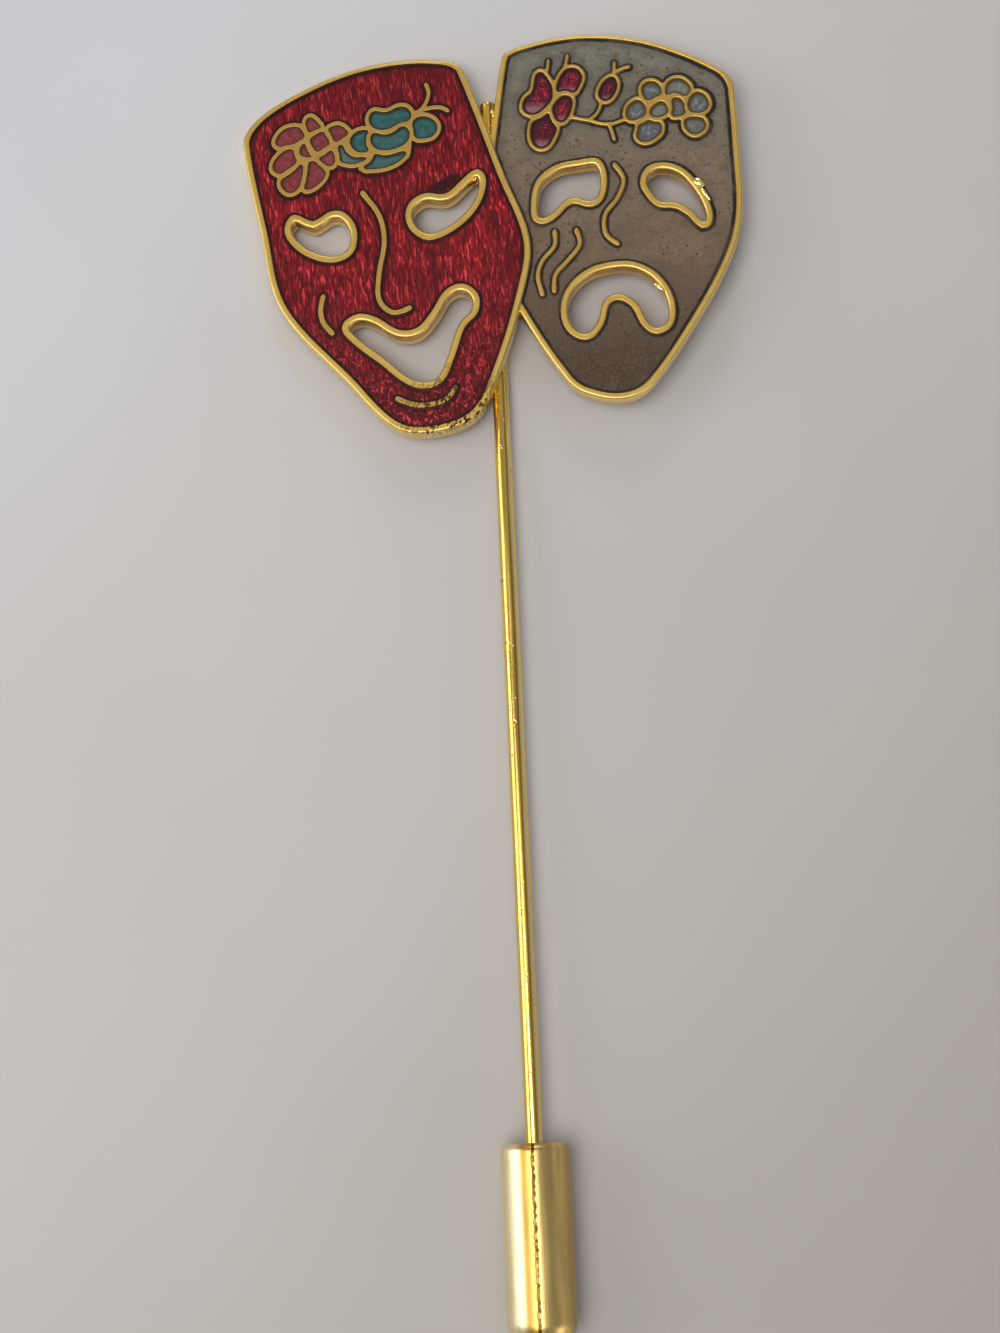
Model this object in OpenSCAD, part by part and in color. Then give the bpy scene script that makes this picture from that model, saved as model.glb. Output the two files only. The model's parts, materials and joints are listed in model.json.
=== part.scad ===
// A stick pin: two enamelled theatre masks on a gilt plate, a long stem soldered on the back, and a
// barrel clutch on the point. It lies at rest on a flat surface, face up. X runs across, Y along the
// stem towards the masks, Z up. The origin is the middle of the whole pin's box, on the surface.

/* [Stem] */
// Diameter of the stem
stem_d = 1; // [0.8:0.05:1.2]
// Length of the stem from its soldered end to the mouth of the clutch
stem_l = 63.5; // [56:0.5:72]
// Diameter of the stretch that is soldered under the masks
root_d = 0.96; // [0.76:0.02:1.1]
// Length over which the soldered stretch grows to the stem's diameter
root_taper_l = 1.2; // [0.8:0.1:2]
// Rounding of the soldered end
end_round = 0.15; // [0.05:0.05:0.3]
// Diameter where the sharp point begins
point_d = 0.72; // [0.5:0.02:0.76]
// Length of the sharp point
point_l = 3; // [2:0.25:4]
// Diameter of the blunted tip
tip_d = 0.1; // [0.05:0.05:0.3]
// Depth to which the soldered stretch sinks into the back of the plate
seat_depth = 0.15; // [0.05:0.05:0.3]
// Width of the solder along each side of the stem
solder_w = 0.35; // [0.1:0.05:0.6]
// Distance from the soldered end to the solder
solder_from = 3; // [2.5:0.1:4]
// Length of the solder
solder_l = 12; // [8:0.5:13]

/* [Clutch] */
// Diameter of the barrel
clutch_d = 4; // [3.4:0.1:5]
// Length of the barrel
clutch_l = 11.2; // [9:0.2:14]
// Thickness of the barrel's wall
clutch_wall = 0.4; // [0.25:0.05:0.6]
// Rounding of the edge round the mouth
mouth_round = 0.45; // [0.2:0.05:0.7]
// Rounding of the closed nose
nose_round = 1.3; // [0.6:0.1:1.6]
// Thickness of the metal behind the nose
nose_wall = 0.9; // [0.7:0.1:1.4]
// Clearance round the stem in the mouth
mouth_gap = 0.12; // [0.06:0.02:0.3]
// Clearance between the grip and the barrel
grip_gap = 0.04; // [0.02:0.01:0.08]
// Clearance between the stem and the bore of the grip
bore_gap = 0.04; // [0.02:0.01:0.08]
// Clearance between the tip of the stem and the inside of the nose
tip_gap = 1.7; // [0.5:0.1:3]

/* [Plate] */
// Thickness of the laughing mask, in front, from its back to the top of its rim
laugh_t = 1.3; // [1.1:0.05:1.6]
// Thickness of the weeping mask, behind it
weep_t = 1.1; // [0.95:0.05:1.3]
// Depth of the pools that hold the enamel
pool_depth = 0.55; // [0.4:0.05:0.7]
// Height of the rims above the enamel
enamel_drop = 0.15; // [0.05:0.01:0.22]
// Gap between the enamel and the metal round it
enamel_gap = 0.02; // [0.01:0.01:0.04]
// Width of the outer rims
rim_w = 0.42; // [0.34:0.02:0.5]
// Width of the collars round the eyes and mouths
collar_w = 0.46; // [0.36:0.02:0.54]
// Width of the dark line round the collars, which the eye and mouth tables take in
shade_w = 0.05; // [0:0.01:0.08]
// Width of the raised lines of nose, cheek, chin and tears
line_w = 0.34; // [0.28:0.02:0.42]
// Width of the wires between the ornament cells
wire_w = 0.28; // [0.2:0.01:0.32]
// Half the width of a gap between the wires that is filled with metal
wire_fill = 0.1; // [0.02:0.02:0.16]

/* [Laughing mask] */
// Width of the laughing mask
laugh_w = 17.5; // [16.5:0.1:18.5]
// Height of the laughing mask
laugh_h = 24; // [22.8:0.1:25.2]
// How far its middle lies to the left of the stem
laugh_left = 6.45; // [6:0.05:7]
// How far its middle lies below the stem's soldered end
laugh_down = 9.45; // [9:0.05:10]
// Width of the flower on it
flower_w = 5.4; // [5:0.1:5.7]
// Width of the insect on it
insect_w = 6.4; // [6:0.1:6.8]

/* [Weeping mask] */
// Width of the weeping mask, with the edge that the other mask hides
weep_w = 15.8; // [15:0.1:16.8]
// Height of the weeping mask
weep_h = 23.5; // [22.4:0.1:24.6]
// How far its middle lies to the right of the stem
weep_right = 7.4; // [7:0.05:7.8]
// How far its middle lies below the stem's soldered end
weep_down = 8.25; // [7.8:0.05:8.7]
// Height of the butterfly on it
butterfly_h = 5.6; // [5.2:0.1:5.9]
// Width of the blossom on it
blossom_w = 5.6; // [5.2:0.1:5.9]

/* [Hidden] */
// Columns of the outline and line tables. Lengths are hundredths of the mask's width and height, from
// its middle. CORNER is 0 where the outline runs smoothly through a point and 1 at a sharp corner.
ACROSS = 0;
UP = 1;
CORNER = 2;

LAUGH_OUTLINE = [
  [-49.5, 30.5, 0.4], [-43.5, 36.8, 0], [-28, 43.4, 0], [-10, 48.2, 0], [9, 50, 0],
  [24, 48.9, 0], [28.8, 46.8, 0.5], [34.5, 35, 0], [42, 17.5, 0], [50, -1, 0],
  [46.7, -15, 0], [37, -35.5, 0], [28.5, -46.3, 0], [13.5, -50, 0], [0.5, -48.3, 0],
  [-15, -36, 0], [-37.8, -15.5, 0], [-44, 5, 0]
];
LAUGH_EYE_LEFT = [
  [-36, 6], [-33.5, 9.8], [-30, 9.6], [-25.5, 7.9], [-20.5, 10], [-15.5, 10.2],
  [-11, 7], [-9.8, 2.5], [-12, -2], [-19, -4], [-28, -2], [-34, 2]
];
LAUGH_EYE_RIGHT = [
  [6.5, 7.5], [8.5, 11.5], [14, 13.6], [21, 13.2], [28, 17.3], [33, 19.3],
  [36, 16], [33, 9], [25, 3.2], [15, 0.4], [8.8, 3]
];
LAUGH_MOUTH = [
  [-17, -21], [-11.5, -17.6], [-4.5, -18.7], [3, -22.3], [9, -22.2], [14.5, -18],
  [19.5, -12.7], [26, -11.2], [31.5, -14.5], [31, -19.5], [26.5, -23], [22.5, -30.5],
  [18, -37], [11.5, -38.8], [4.5, -37], [-4, -31.5], [-13, -25.8]
];
LAUGH_LINES = [
  [[-7.8, 14.5], [-2.2, 8], [-0.8, 1], [-3, -7.5], [-3.2, -14.5], [1.5, -18], [7.2, -17]],
  [[-22.8, -12.7], [-23.8, -16.3], [-22.8, -19.8], [-20, -22.5]],
  [[1.8, -40.7], [7, -42.4], [13, -42.7], [19, -41.3], [22, -38.6]]
];

WEEP_OUTLINE = [
  [-39.5, 46.3, 0.7], [-24, 49.4, 0], [-6, 50.2, 0], [14, 48, 0], [32, 43.2, 0],
  [46, 37.5, 0.3], [49.3, 34, 0.4], [50, 15, 0], [49.7, -1, 0], [45, -12.5, 0],
  [31, -29, 0], [10.5, -47.2, 0], [0, -50, 0], [-12, -48.5, 0], [-20, -45, 0],
  [-38, -24.5, 0], [-48, -8, 0], [-48, 12, 0], [-44, 31, 0]
];
WEEP_EYE_LEFT = [
  [-32, 3.5], [-29.5, 10.5], [-22, 14.6], [-12, 15.8], [-4, 15.6], [-1, 11],
  [-3, 4], [-8.5, 1.9], [-15.5, 3], [-21, 0], [-26.5, -2], [-31, -0.8]
];
WEEP_EYE_RIGHT = [
  [10.5, 8.5], [13.5, 12.5], [20.5, 13.6], [28, 11.7], [34.5, 6.5], [38.5, 0],
  [38, -4.5], [33.5, -5.8], [29, -2.5], [24, 0], [17, 0.9], [12, 5]
];
WEEP_MOUTH = [
  [-22.5, -26], [-20, -19.5], [-12, -14.5], [-2, -12.7], [8, -13.2], [17, -17.3],
  [22, -24], [21, -31], [14, -33.6], [8.5, -31], [5, -26], [1, -24],
  [-2.5, -24.5], [-5.5, -30], [-12, -34], [-19.5, -31.8]
];
WEEP_LINES = [
  [[1.6, 13.5], [4.8, 9.5], [2, 4.3], [-3, 0], [-3, -5.5], [1.2, -8.2]],
  [[-22.8, -3.8], [-23, -7.5], [-28, -11.5], [-30, -15.5], [-28.6, -20.7]],
  [[-14.4, -3.7], [-13.3, -7.5], [-18.5, -12], [-23.3, -15.6], [-24, -20]]
];

// Outlines of the cells of enamel in the ornaments, each round its edge, in hundredths of the
// ornament's own size from its middle. A later cell and its wire lie over an earlier one.
FLOWER_CELLS = [
  [
    [-8.8, -12], [-6.4, -14], [-7, -21], [-8.8, -30.5], [-12, -39.5], [-17, -44.3], [-23, -45.6],
    [-28.5, -42], [-31.8, -36], [-31.5, -30.5], [-27, -26.5], [-20, -22.5], [-13.5, -17]
  ],
  [
    [1.2, -10.5], [6.2, -9.2], [12.5, -15.5], [19, -22.7], [17, -30], [10.5, -37.2], [3, -42],
    [-2, -43.2], [-5.4, -41.5], [-3, -33], [-1, -22]
  ],
  [
    [-21, 7], [-17, 5.5], [-15.8, -1], [-13.6, -8.3], [-19.5, -14], [-26, -18], [-32, -21.5],
    [-37.5, -20], [-40.8, -15], [-39.5, -8], [-35, -1.5], [-29, 4]
  ],
  [
    [-37, 16.5], [-34, 23.5], [-28, 30.3], [-19.5, 33.4], [-10, 32.8], [-6, 28], [-3.8, 21.3],
    [-10, 16.8], [-17, 13.2], [-26, 12.2], [-33, 10.8]
  ],
  [[-4, 13], [-7.5, 9.5], [-9.5, 4], [-8.3, -1], [-4, -3.2], [2.5, -3.8], [1.5, -0.5], [-1.5, 6]],
  [
    [3.5, 44.2], [0, 42], [-1.6, 37], [-0.3, 31], [2, 26], [8, 28.7], [15, 31], [12.7, 36], [8, 41.5]
  ],
  [
    [24.2, 28], [28.5, 31], [34, 32.5], [39.5, 30.6], [44.5, 26], [46.3, 21.5], [41, 17.3],
    [32, 12.3], [29.3, 15.5], [27, 22]
  ],
  [
    [12.7, -5.8], [19.6, -2.5], [26.5, 2.5], [29.3, -2.5], [30.2, -9], [28.5, -14.3], [23.5, -16.5],
    [18.5, -13.5], [14.5, -9.5]
  ],
  [
    [4, 18.5], [11, 23], [17.5, 25.8], [21, 20.5], [24.7, 11], [17.3, 6], [9.8, 2], [5.8, 8], [3, 14]
  ]
];
INSECT_CELLS = [
  [
    [-48, -7.5], [-44.5, -4.7], [-42, -9.7], [-37.5, -15.8], [-31.5, -18.8], [-21, -20],
    [-26.5, -23.2], [-34, -25.3], [-41.5, -23.8], [-46, -21.5], [-46.6, -14]
  ],
  [
    [-18.4, 7.5], [-24, 8.7], [-30.5, 6.8], [-35, 1.8], [-36.2, -3], [-34, -8.7], [-29.5, -13],
    [-24, -14], [-19.2, -12.5], [-20.7, -7], [-21.2, -1], [-20.4, 3.5]
  ],
  [
    [-12.5, -16.5], [-6, -18.4], [1, -18.5], [8, -17], [15, -15.6], [17.3, -17.6], [12.5, -23.3],
    [4.5, -28.3], [-5, -31], [-14.5, -31.5], [-24, -29.7], [-18, -25], [-14.5, -20.5]
  ],
  [
    [-14.8, 3.8], [-11.5, 5.2], [-6, 2.9], [0, 2.6], [6, 4.6], [11.5, 8.5], [15.7, 9.8], [19.5, 7.3],
    [21, 2], [18.8, -5], [12.5, -10], [4, -12.7], [-4.5, -13], [-11.3, -11], [-15.5, -5.5],
    [-16.4, -0.5]
  ],
  [
    [-12, 27.3], [-15.3, 24.8], [-17.2, 20], [-15.8, 13.7], [-11, 9.2], [-4, 7.8], [2, 8.8],
    [7.5, 11.6], [13.5, 14.2], [20.2, 15.5], [23.3, 21], [21, 27], [16.5, 29.8], [9.5, 29.4],
    [3.5, 26.4], [-3, 25.5]
  ],
  [
    [24.5, 11.5], [27, 16.3], [32, 18.7], [38.8, 18], [44.7, 14.3], [47.8, 8.8], [47, 3], [42.5, -2],
    [35.8, -3.7], [28.5, -3.2], [26, -0.5], [25.4, 6]
  ]
];
BUTTERFLY_CELLS = [
  [
    [-5.2, -5.2], [-13, -9.8], [-21.8, -13.4], [-24.3, -19], [-25.4, -29], [-23.5, -38],
    [-18.5, -43.7], [-12.5, -44.7], [-6.8, -41.5], [-1, -32.5], [2.6, -22.3], [-1.6, -15.5], [-4, -9]
  ],
  [
    [-11.7, 43.9], [-15.5, 42], [-17.8, 36], [-19.2, 27.5], [-22.5, 20.3], [-28.5, 15.7], [-32, 9],
    [-32, 1.5], [-28, -3.3], [-21, -4.9], [-14, -1.8], [-7, 4.4], [-1.3, 11.3], [0.2, 19],
    [-0.5, 28], [-4, 35.5], [-8, 41.5]
  ],
  [
    [21.5, 46.2], [16.5, 45], [11.3, 39], [7.3, 31], [5.5, 23], [6.8, 19.8], [12.5, 20.9],
    [18.5, 19.9], [23.8, 17.6], [28.5, 23], [32.3, 30.3], [33.4, 37], [31, 42.3], [26.8, 45.5]
  ],
  [
    [14, 14.4], [8.8, 13], [3.5, 7.5], [0, 1.5], [0.5, -4.8], [3, -12], [7.3, -15.7], [11.3, -15],
    [16.2, -10], [19.2, -3.5], [21.5, 6.5], [20.2, 12]
  ],
  [
    [66.9, 32.8], [62, 31.4], [56, 26], [52.3, 18.5], [51.4, 13], [53.7, 8.2], [58, 5.8], [63, 7.8],
    [67.7, 13], [71.2, 21.8], [70.7, 29]
  ]
];
BLOSSOM_CELLS = [
  [
    [-20.5, -11], [-25.5, -13.3], [-30.5, -15.3], [-32.3, -21], [-33.8, -27], [-31.8, -32.3],
    [-26.5, -35.2], [-20.3, -34.5], [-13.3, -30.3], [-8.5, -25.8], [-7, -19.2], [-8.3, -14.5],
    [-13.8, -13.6]
  ],
  [
    [25.8, -10.6], [20.3, -12.3], [18.8, -17], [20.3, -23], [24.3, -28], [29.3, -30.2],
    [34.5, -28.5], [39.5, -24.5], [41.3, -19], [39, -13.5], [33, -11.2]
  ],
  [
    [10.4, 13.1], [7.2, 11.8], [6.9, 6.5], [7, 1], [5.8, -4], [6.7, -7.6], [12, -7.9], [17.6, -6.3],
    [20, -2.3], [19.8, 4], [17.3, 9.6], [14, 12.5]
  ],
  [
    [-30.4, 13.2], [-36, 12.2], [-41, 7.7], [-43.7, 2.3], [-43.8, -3.8], [-41, -8.4], [-35.8, -9.1],
    [-29, -7], [-24.7, -3.8], [-22.9, 4.5], [-25.4, 9.3]
  ],
  [
    [-16.5, 34.1], [-22, 32.6], [-25, 28.6], [-25.6, 23.5], [-24.2, 18.3], [-20.2, 12.6],
    [-13.5, 15.6], [-6, 18.8], [-5, 24], [-6.6, 29], [-11, 32.8]
  ],
  [
    [12, 35.5], [6.2, 34], [2, 29.5], [0.5, 23.5], [1.2, 18], [6.5, 19.5], [12, 19.2], [17.3, 17],
    [21.3, 15], [26, 19.8], [26.7, 25.5], [22.7, 31.2], [17.7, 34.7]
  ],
  [
    [35.2, 18.2], [30.4, 16.8], [26.5, 12.2], [24.2, 7], [24.2, 1], [26.5, -3.5], [32, -5.2],
    [37.5, -5], [42.5, -2.2], [45.6, 3.1], [45, 9.5], [41.3, 15]
  ],
  [
    [-6.9, 9.8], [-11.5, 7.8], [-16.2, 3], [-18, -2.3], [-15.3, -6.5], [-10, -7.7], [-4, -6],
    [0, -2.7], [0.8, 2.3], [-1.7, 7.8]
  ]
];

// Open wires of the ornaments, in the same hundredths
INSECT_WIRES = [
  [[29, 22], [37, 30.5], [40.8, 40], [40.8, 46], [38.8, 51.5]],
  [[30, 24], [37, 26], [45, 27.3], [52.5, 26.7], [59, 23]],
  [[20, 28], [28, 22], [31, 24]],
  [[18.5, -21.5], [20.5, -13], [21.3, -4]]
];
BUTTERFLY_WIRES = [
  [[-5, 44], [-3.2, 50], [-2.3, 57]],
  [[15, 48], [17.5, 54.5], [18.8, 61.5]],
  [[68, 36], [69.5, 42], [70, 49.5]],
  [[69, 37], [77.5, 41.7], [86, 43.8]],
  [[53, 3], [50.5, -4.5], [45.5, -11], [39, -15.5]],
  [[20, -11], [30, -14], [40, -16.4], [48, -19.6], [56, -21.6], [64, -21.8], [77, -18]],
  [[60, -21], [63, -29], [65.5, -40]]
];

// Each ornament's middle, in hundredths of its mask's width and height from the mask's middle
FLOWER_AT = [-26.5, 26];
INSECT_AT = [1.7, 29.2];
BUTTERFLY_AT = [-21.1, 30];
BLOSSOM_AT = [23, 27.7];

// Longest straight step along an outline, round an eye or mouth and along a line, and round a cell
outline_step = 0.9;
feature_step = 0.55;
cell_step = 0.3;
// Half the width of the narrowest bit of enamel that is kept
trim = 0.07;
// How far a cut runs past the face
cut_past = 0.2;
// How far past the chin the soldered stretch goes, and how far outside the mouth the stem narrows
chin_gap = 0.2;
mouth_lead = 0.2;

laugh_middle = [-laugh_left, -laugh_down];
weep_middle = [weep_right, -weep_down];

// Rows of a table as places on the plate
function places(table, middle, w, h) =
  [for (row = table) middle + [row[ACROSS] * w, row[UP] * h] / 100];
// How sharp the corner at each point is, nought where the table has no such column
function corners(table) = [for (row = table) len(row) > 2 ? row[CORNER] : 0];
// The point at share t of the cubic from p to q, which leaves along m and arrives along n
function cubic(p, q, m, n, t) =
  (2 * t * t * t - 3 * t * t + 1) * p + (t * t * t - 2 * t * t + t) * m
  + (3 * t * t - 2 * t * t * t) * q + (t * t * t - t * t) * n;
// The way the curve runs through point i: along the line between its neighbours
function heading(points, i, closed) =
  let(
    n = len(points),
    back = points[closed ? (i + n - 1) % n : max(i - 1, 0)],
    ahead = points[closed ? (i + 1) % n : min(i + 1, n - 1)]
  )
  (ahead - back) / norm(ahead - back);
// A smooth curve through the points, in straight steps no longer than step
function curve(points, sharp, step, closed) =
  let(n = len(points), last = closed ? n - 1 : n - 2)
  concat(
    [
      for (i = [0:last])
        let(
          j = (i + 1) % n,
          span = norm(points[j] - points[i]),
          m = heading(points, i, closed) * span * (1 - sharp[i]),
          q = heading(points, j, closed) * span * (1 - sharp[j]),
          steps = max(2, ceil(span / step))
        )
        for (k = [0:steps - 1]) cubic(points[i], points[j], m, q, k / steps)
    ],
    closed ? [] : [points[n - 1]]
  );
// A closed outline and an open line of a mask
function outline(table, middle, w, h, step) =
  curve(places(table, middle, w, h), corners(table), step, true);
function face_line(table, middle, w, h) =
  curve(places(table, middle, w, h), corners(table), feature_step, false);
// The way along a line at point i, and the way to its left
function along(line, i) = heading(line, i, false);
function left_of(way) = [-way[1], way[0]];
// A strip of one width along a line, with round ends
function strip(line, w) =
  let(
    n = len(line),
    tail = along(line, n - 1),
    head = along(line, 0),
    turns = [60, 30, 0, -30, -60]
  )
  concat(
    [for (i = [0:n - 1]) line[i] + left_of(along(line, i)) * w / 2],
    [for (a = turns) line[n - 1] + (tail * cos(a) + left_of(tail) * sin(a)) * w / 2],
    [for (i = [n - 1:-1:0]) line[i] - left_of(along(line, i)) * w / 2],
    [for (a = turns) line[0] - (head * cos(a) + left_of(head) * sin(a)) * w / 2]
  );
// The outline of a cell of enamel
function cell_edge(row, middle, size) =
  curve([for (p = row) middle + p * size / 100], corners(row), cell_step, true);

laugh_edge = outline(LAUGH_OUTLINE, laugh_middle, laugh_w, laugh_h, outline_step);
weep_edge = outline(WEEP_OUTLINE, weep_middle, weep_w, weep_h, outline_step);
flower_middle = places([FLOWER_AT], laugh_middle, laugh_w, laugh_h)[0];
insect_middle = places([INSECT_AT], laugh_middle, laugh_w, laugh_h)[0];
butterfly_middle = places([BUTTERFLY_AT], weep_middle, weep_w, weep_h)[0];
blossom_middle = places([BLOSSOM_AT], weep_middle, weep_w, weep_h)[0];

// Clutch and stem along their shared axis, measured from the soldered end
stem_r = stem_d / 2;
clutch_r = clutch_d / 2;
insert_l = clutch_l - nose_wall - tip_gap;
chin_y = -min([for (p = laugh_edge) p[1]]);
root_l = chin_y + chin_gap;
grip_r = clutch_r - clutch_wall - grip_gap;
cavity_l = clutch_l - clutch_wall - nose_wall;

// Rest: the stem's soldered end and the barrel's edge touch the surface, which tips the stem by
// pitch, and the masks lean to the left about the stem by roll until the plate's edge touches
back_z = root_d / 2 - seat_depth;
pitch = atan2(clutch_r - root_d / 2, stem_l + mouth_round - end_round);
end_z = root_d / 2 * cos(pitch) - end_round * sin(pitch);
function roll_to_touch(p) =
  let(
    reach = norm([p[0], back_z]),
    drop = (end_z - p[1] * sin(pitch)) / cos(pitch)
  )
  p[0] < 0 && drop < reach ? atan2(back_z, -p[0]) + asin(drop / reach) : 90;
roll = min([for (p = concat(laugh_edge, weep_edge)) roll_to_touch(p)]);

// The box of the whole pin at rest, for the origin
face_z = back_z + laugh_t;
function rest_x(p, z) = p[0] * cos(roll) - z * sin(roll);
function rest_y(p, z) = p[1] * cos(pitch) + (p[0] * sin(roll) + z * cos(roll)) * sin(pitch);
edges = concat(laugh_edge, weep_edge);
x_low = min([for (p = edges) rest_x(p, face_z)]);
x_high = max([for (p = edges) rest_x(p, back_z)]);
y_high = max([for (p = edges) rest_y(p, face_z)]);
y_low = -(stem_l + clutch_l) * cos(pitch) - (clutch_r - nose_round) * sin(pitch);

// From the stem's own frame, with its axis along Y and its soldered end at the origin, to rest
module at_rest() {
  translate([-(x_low + x_high) / 2, -(y_low + y_high) / 2, end_z])
    rotate([-pitch, 0, 0])
      children();
}

// From the plate's own frame, with its back at z = 0, to rest
module on_stem() {
  at_rest()
    rotate([0, -roll, 0])
      translate([0, 0, back_z])
        children();
}

// A shape turned about the stem's axis, drawn as radius across and distance from the soldered end up
module turned() {
  at_rest()
    rotate([90, 0, 0])
      rotate_extrude($fn = 64)
        children();
}

module laugh_features() {
  offset(delta = -shade_w)
    for (table = [LAUGH_EYE_LEFT, LAUGH_EYE_RIGHT, LAUGH_MOUTH])
      polygon(outline(table, laugh_middle, laugh_w, laugh_h, feature_step));
}

module weep_features() {
  offset(delta = -shade_w)
    for (table = [WEEP_EYE_LEFT, WEEP_EYE_RIGHT, WEEP_MOUTH])
      polygon(outline(table, weep_middle, weep_w, weep_h, feature_step));
}

module lines(tables, middle, w, h, width) {
  for (table = tables)
    polygon(strip(face_line(table, middle, w, h), width));
}

// A flat shape without the bits that are narrower than twice the trim
module trimmed() {
  offset(delta = trim)
    offset(delta = -trim)
      children();
}

// One cell, cut back where later cells and their wires lie over it
module cell(table, i, middle, size) {
  trimmed()
    difference() {
      polygon(cell_edge(table[i], middle, size));
      for (j = [i + 1:1:len(table) - 1])
        offset(delta = wire_w)
          polygon(cell_edge(table[j], middle, size));
    }
}

module cells(table, middle, size) {
  for (i = [0:len(table) - 1])
    cell(table, i, middle, size);
}

// The metal round the cells: the outlines of the cells grown by the wire's width, with narrow gaps
// filled
module wires(table, middle, size) {
  offset(delta = -wire_fill)
    offset(delta = wire_w + wire_fill)
      for (row = table)
        polygon(cell_edge(row, middle, size));
}

// The pool of the laughing mask, and that of the weeping one, which the first mask's rim bounds
module laugh_pool() {
  trimmed()
    difference() {
      offset(delta = -rim_w)
        polygon(laugh_edge);
      laugh_features();
      lines(LAUGH_LINES, laugh_middle, laugh_w, laugh_h, line_w);
      wires(FLOWER_CELLS, flower_middle, flower_w);
      wires(INSECT_CELLS, insect_middle, insect_w);
      lines(INSECT_WIRES, insect_middle, insect_w, insect_w, wire_w);
    }
}

module weep_pool() {
  trimmed()
    difference() {
      offset(delta = -rim_w)
        polygon(weep_edge);
      polygon(laugh_edge);
      weep_features();
      lines(WEEP_LINES, weep_middle, weep_w, weep_h, line_w);
      wires(BUTTERFLY_CELLS, butterfly_middle, butterfly_h);
      wires(BLOSSOM_CELLS, blossom_middle, blossom_w);
      lines(BUTTERFLY_WIRES, butterfly_middle, butterfly_h, butterfly_h, wire_w);
    }
}

// One mask of metal: the first flat shape raised to its thickness with the second cut in as pools,
// each half the enamel's gap wider than the enamel's place
module mask_plate(thick) {
  on_stem()
    difference() {
      linear_extrude(thick)
        children(0);
      translate([0, 0, thick - pool_depth])
        linear_extrude(pool_depth + cut_past)
          offset(delta = enamel_gap / 2)
            children(1);
    }
}

module laugh_plate() {
  mask_plate(laugh_t) {
    difference() {
      offset(delta = 0)
        polygon(laugh_edge);
      offset(delta = -collar_w)
        laugh_features();
    }
    union() {
      laugh_pool();
      cells(FLOWER_CELLS, flower_middle, flower_w);
      cells(INSECT_CELLS, insect_middle, insect_w);
    }
  }
}

// The weeping mask's metal runs half a rim under the other's edge, so that the two are one
module weep_plate() {
  mask_plate(weep_t) {
    difference() {
      offset(delta = 0)
        polygon(weep_edge);
      offset(delta = -rim_w / 2)
        polygon(laugh_edge);
      offset(delta = -collar_w)
        weep_features();
    }
    union() {
      weep_pool();
      cells(BUTTERFLY_CELLS, butterfly_middle, butterfly_h);
      cells(BLOSSOM_CELLS, blossom_middle, blossom_w);
    }
  }
}

module stem() {
  root_r = root_d / 2;
  mouth_l = stem_l - mouth_lead;
  turned()
    polygon([
      [0, 0], [root_r - end_round, 0], [root_r, end_round], [root_r, root_l],
      [stem_r, root_l + root_taper_l], [stem_r, mouth_l],
      [point_d / 2, stem_l + insert_l - point_l], [tip_d / 2, stem_l + insert_l],
      [0, stem_l + insert_l]
    ]);
}

// A bed of solder that widens from the stem's sides to the back of the plate
module solder() {
  half = root_d / 2;
  at_rest()
    translate([0, -(solder_from + solder_l), 0])
      rotate([0, -roll, 0])
        rotate([-90, 0, 0])
          linear_extrude(solder_l)
            polygon([
              [-half, 0], [half, 0], [half + solder_w, -back_z - seat_depth],
              [-half - solder_w, -back_z - seat_depth]
            ]);
}

module mask_frame() {
  color("goldenrod") {
    laugh_plate();
    weep_plate();
    stem();
    solder();
  }
}

// Enamel that fills a pool up to a little below the rims
module enamel(thick) {
  on_stem()
    translate([0, 0, thick - pool_depth])
      linear_extrude(pool_depth - enamel_drop)
        offset(delta = -enamel_gap / 2)
          children();
}

module red_enamel() {
  color("firebrick")
    enamel(laugh_t)
      laugh_pool();
}

module grey_enamel() {
  color("dimgray")
    enamel(weep_t)
      weep_pool();
}

module cell_enamel(shade, thick, table, i, middle, size) {
  color(shade)
    enamel(thick)
      cell(table, i, middle, size);
}

module clutch_grip() {
  bore_r = stem_r + bore_gap;
  front = stem_l + clutch_wall + grip_gap;
  back = stem_l + clutch_wall + cavity_l - grip_gap;
  color("silver")
    turned()
      polygon([[bore_r, front], [grip_r, front], [grip_r, back], [bore_r, back]]);
}

module clutch_barrel() {
  color("khaki")
    turned()
      translate([0, stem_l])
        difference() {
          barrel_profile();
          square([stem_r + mouth_gap, clutch_wall + cavity_l / 2]);
          translate([0, clutch_wall])
            square([clutch_r - clutch_wall, cavity_l]);
        }
}

// The barrel's half section: a straight wall with a small rounding at the mouth and a large one at
// the nose
module barrel_profile() {
  square([clutch_r - mouth_round, mouth_round]);
  translate([clutch_r - mouth_round, mouth_round])
    quarter(mouth_round, -1);
  translate([0, mouth_round])
    square([clutch_r, clutch_l - mouth_round - nose_round]);
  translate([0, clutch_l - nose_round])
    square([clutch_r - nose_round, nose_round]);
  translate([clutch_r - nose_round, clutch_l - nose_round])
    quarter(nose_round, 1);
}

// A quarter disc in the corner right of the origin, above it with side 1 and below it with side -1
module quarter(r, side) {
  intersection() {
    circle(r, $fn = 48);
    translate([0, side > 0 ? 0 : -r])
      square(r);
  }
}

mask_frame();
red_enamel();
grey_enamel();
for (i = [1:len(FLOWER_CELLS)])
  cell_enamel("palevioletred", laugh_t, FLOWER_CELLS, i - 1, flower_middle, flower_w);
for (i = [1:len(INSECT_CELLS)])
  cell_enamel("cadetblue", laugh_t, INSECT_CELLS, i - 1, insect_middle, insect_w);
for (i = [1:len(BUTTERFLY_CELLS)])
  cell_enamel("crimson", weep_t, BUTTERFLY_CELLS, i - 1, butterfly_middle, butterfly_h);
for (i = [1:len(BLOSSOM_CELLS)])
  cell_enamel("lightslategray", weep_t, BLOSSOM_CELLS, i - 1, blossom_middle, blossom_w);
clutch_grip();
clutch_barrel();
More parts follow.
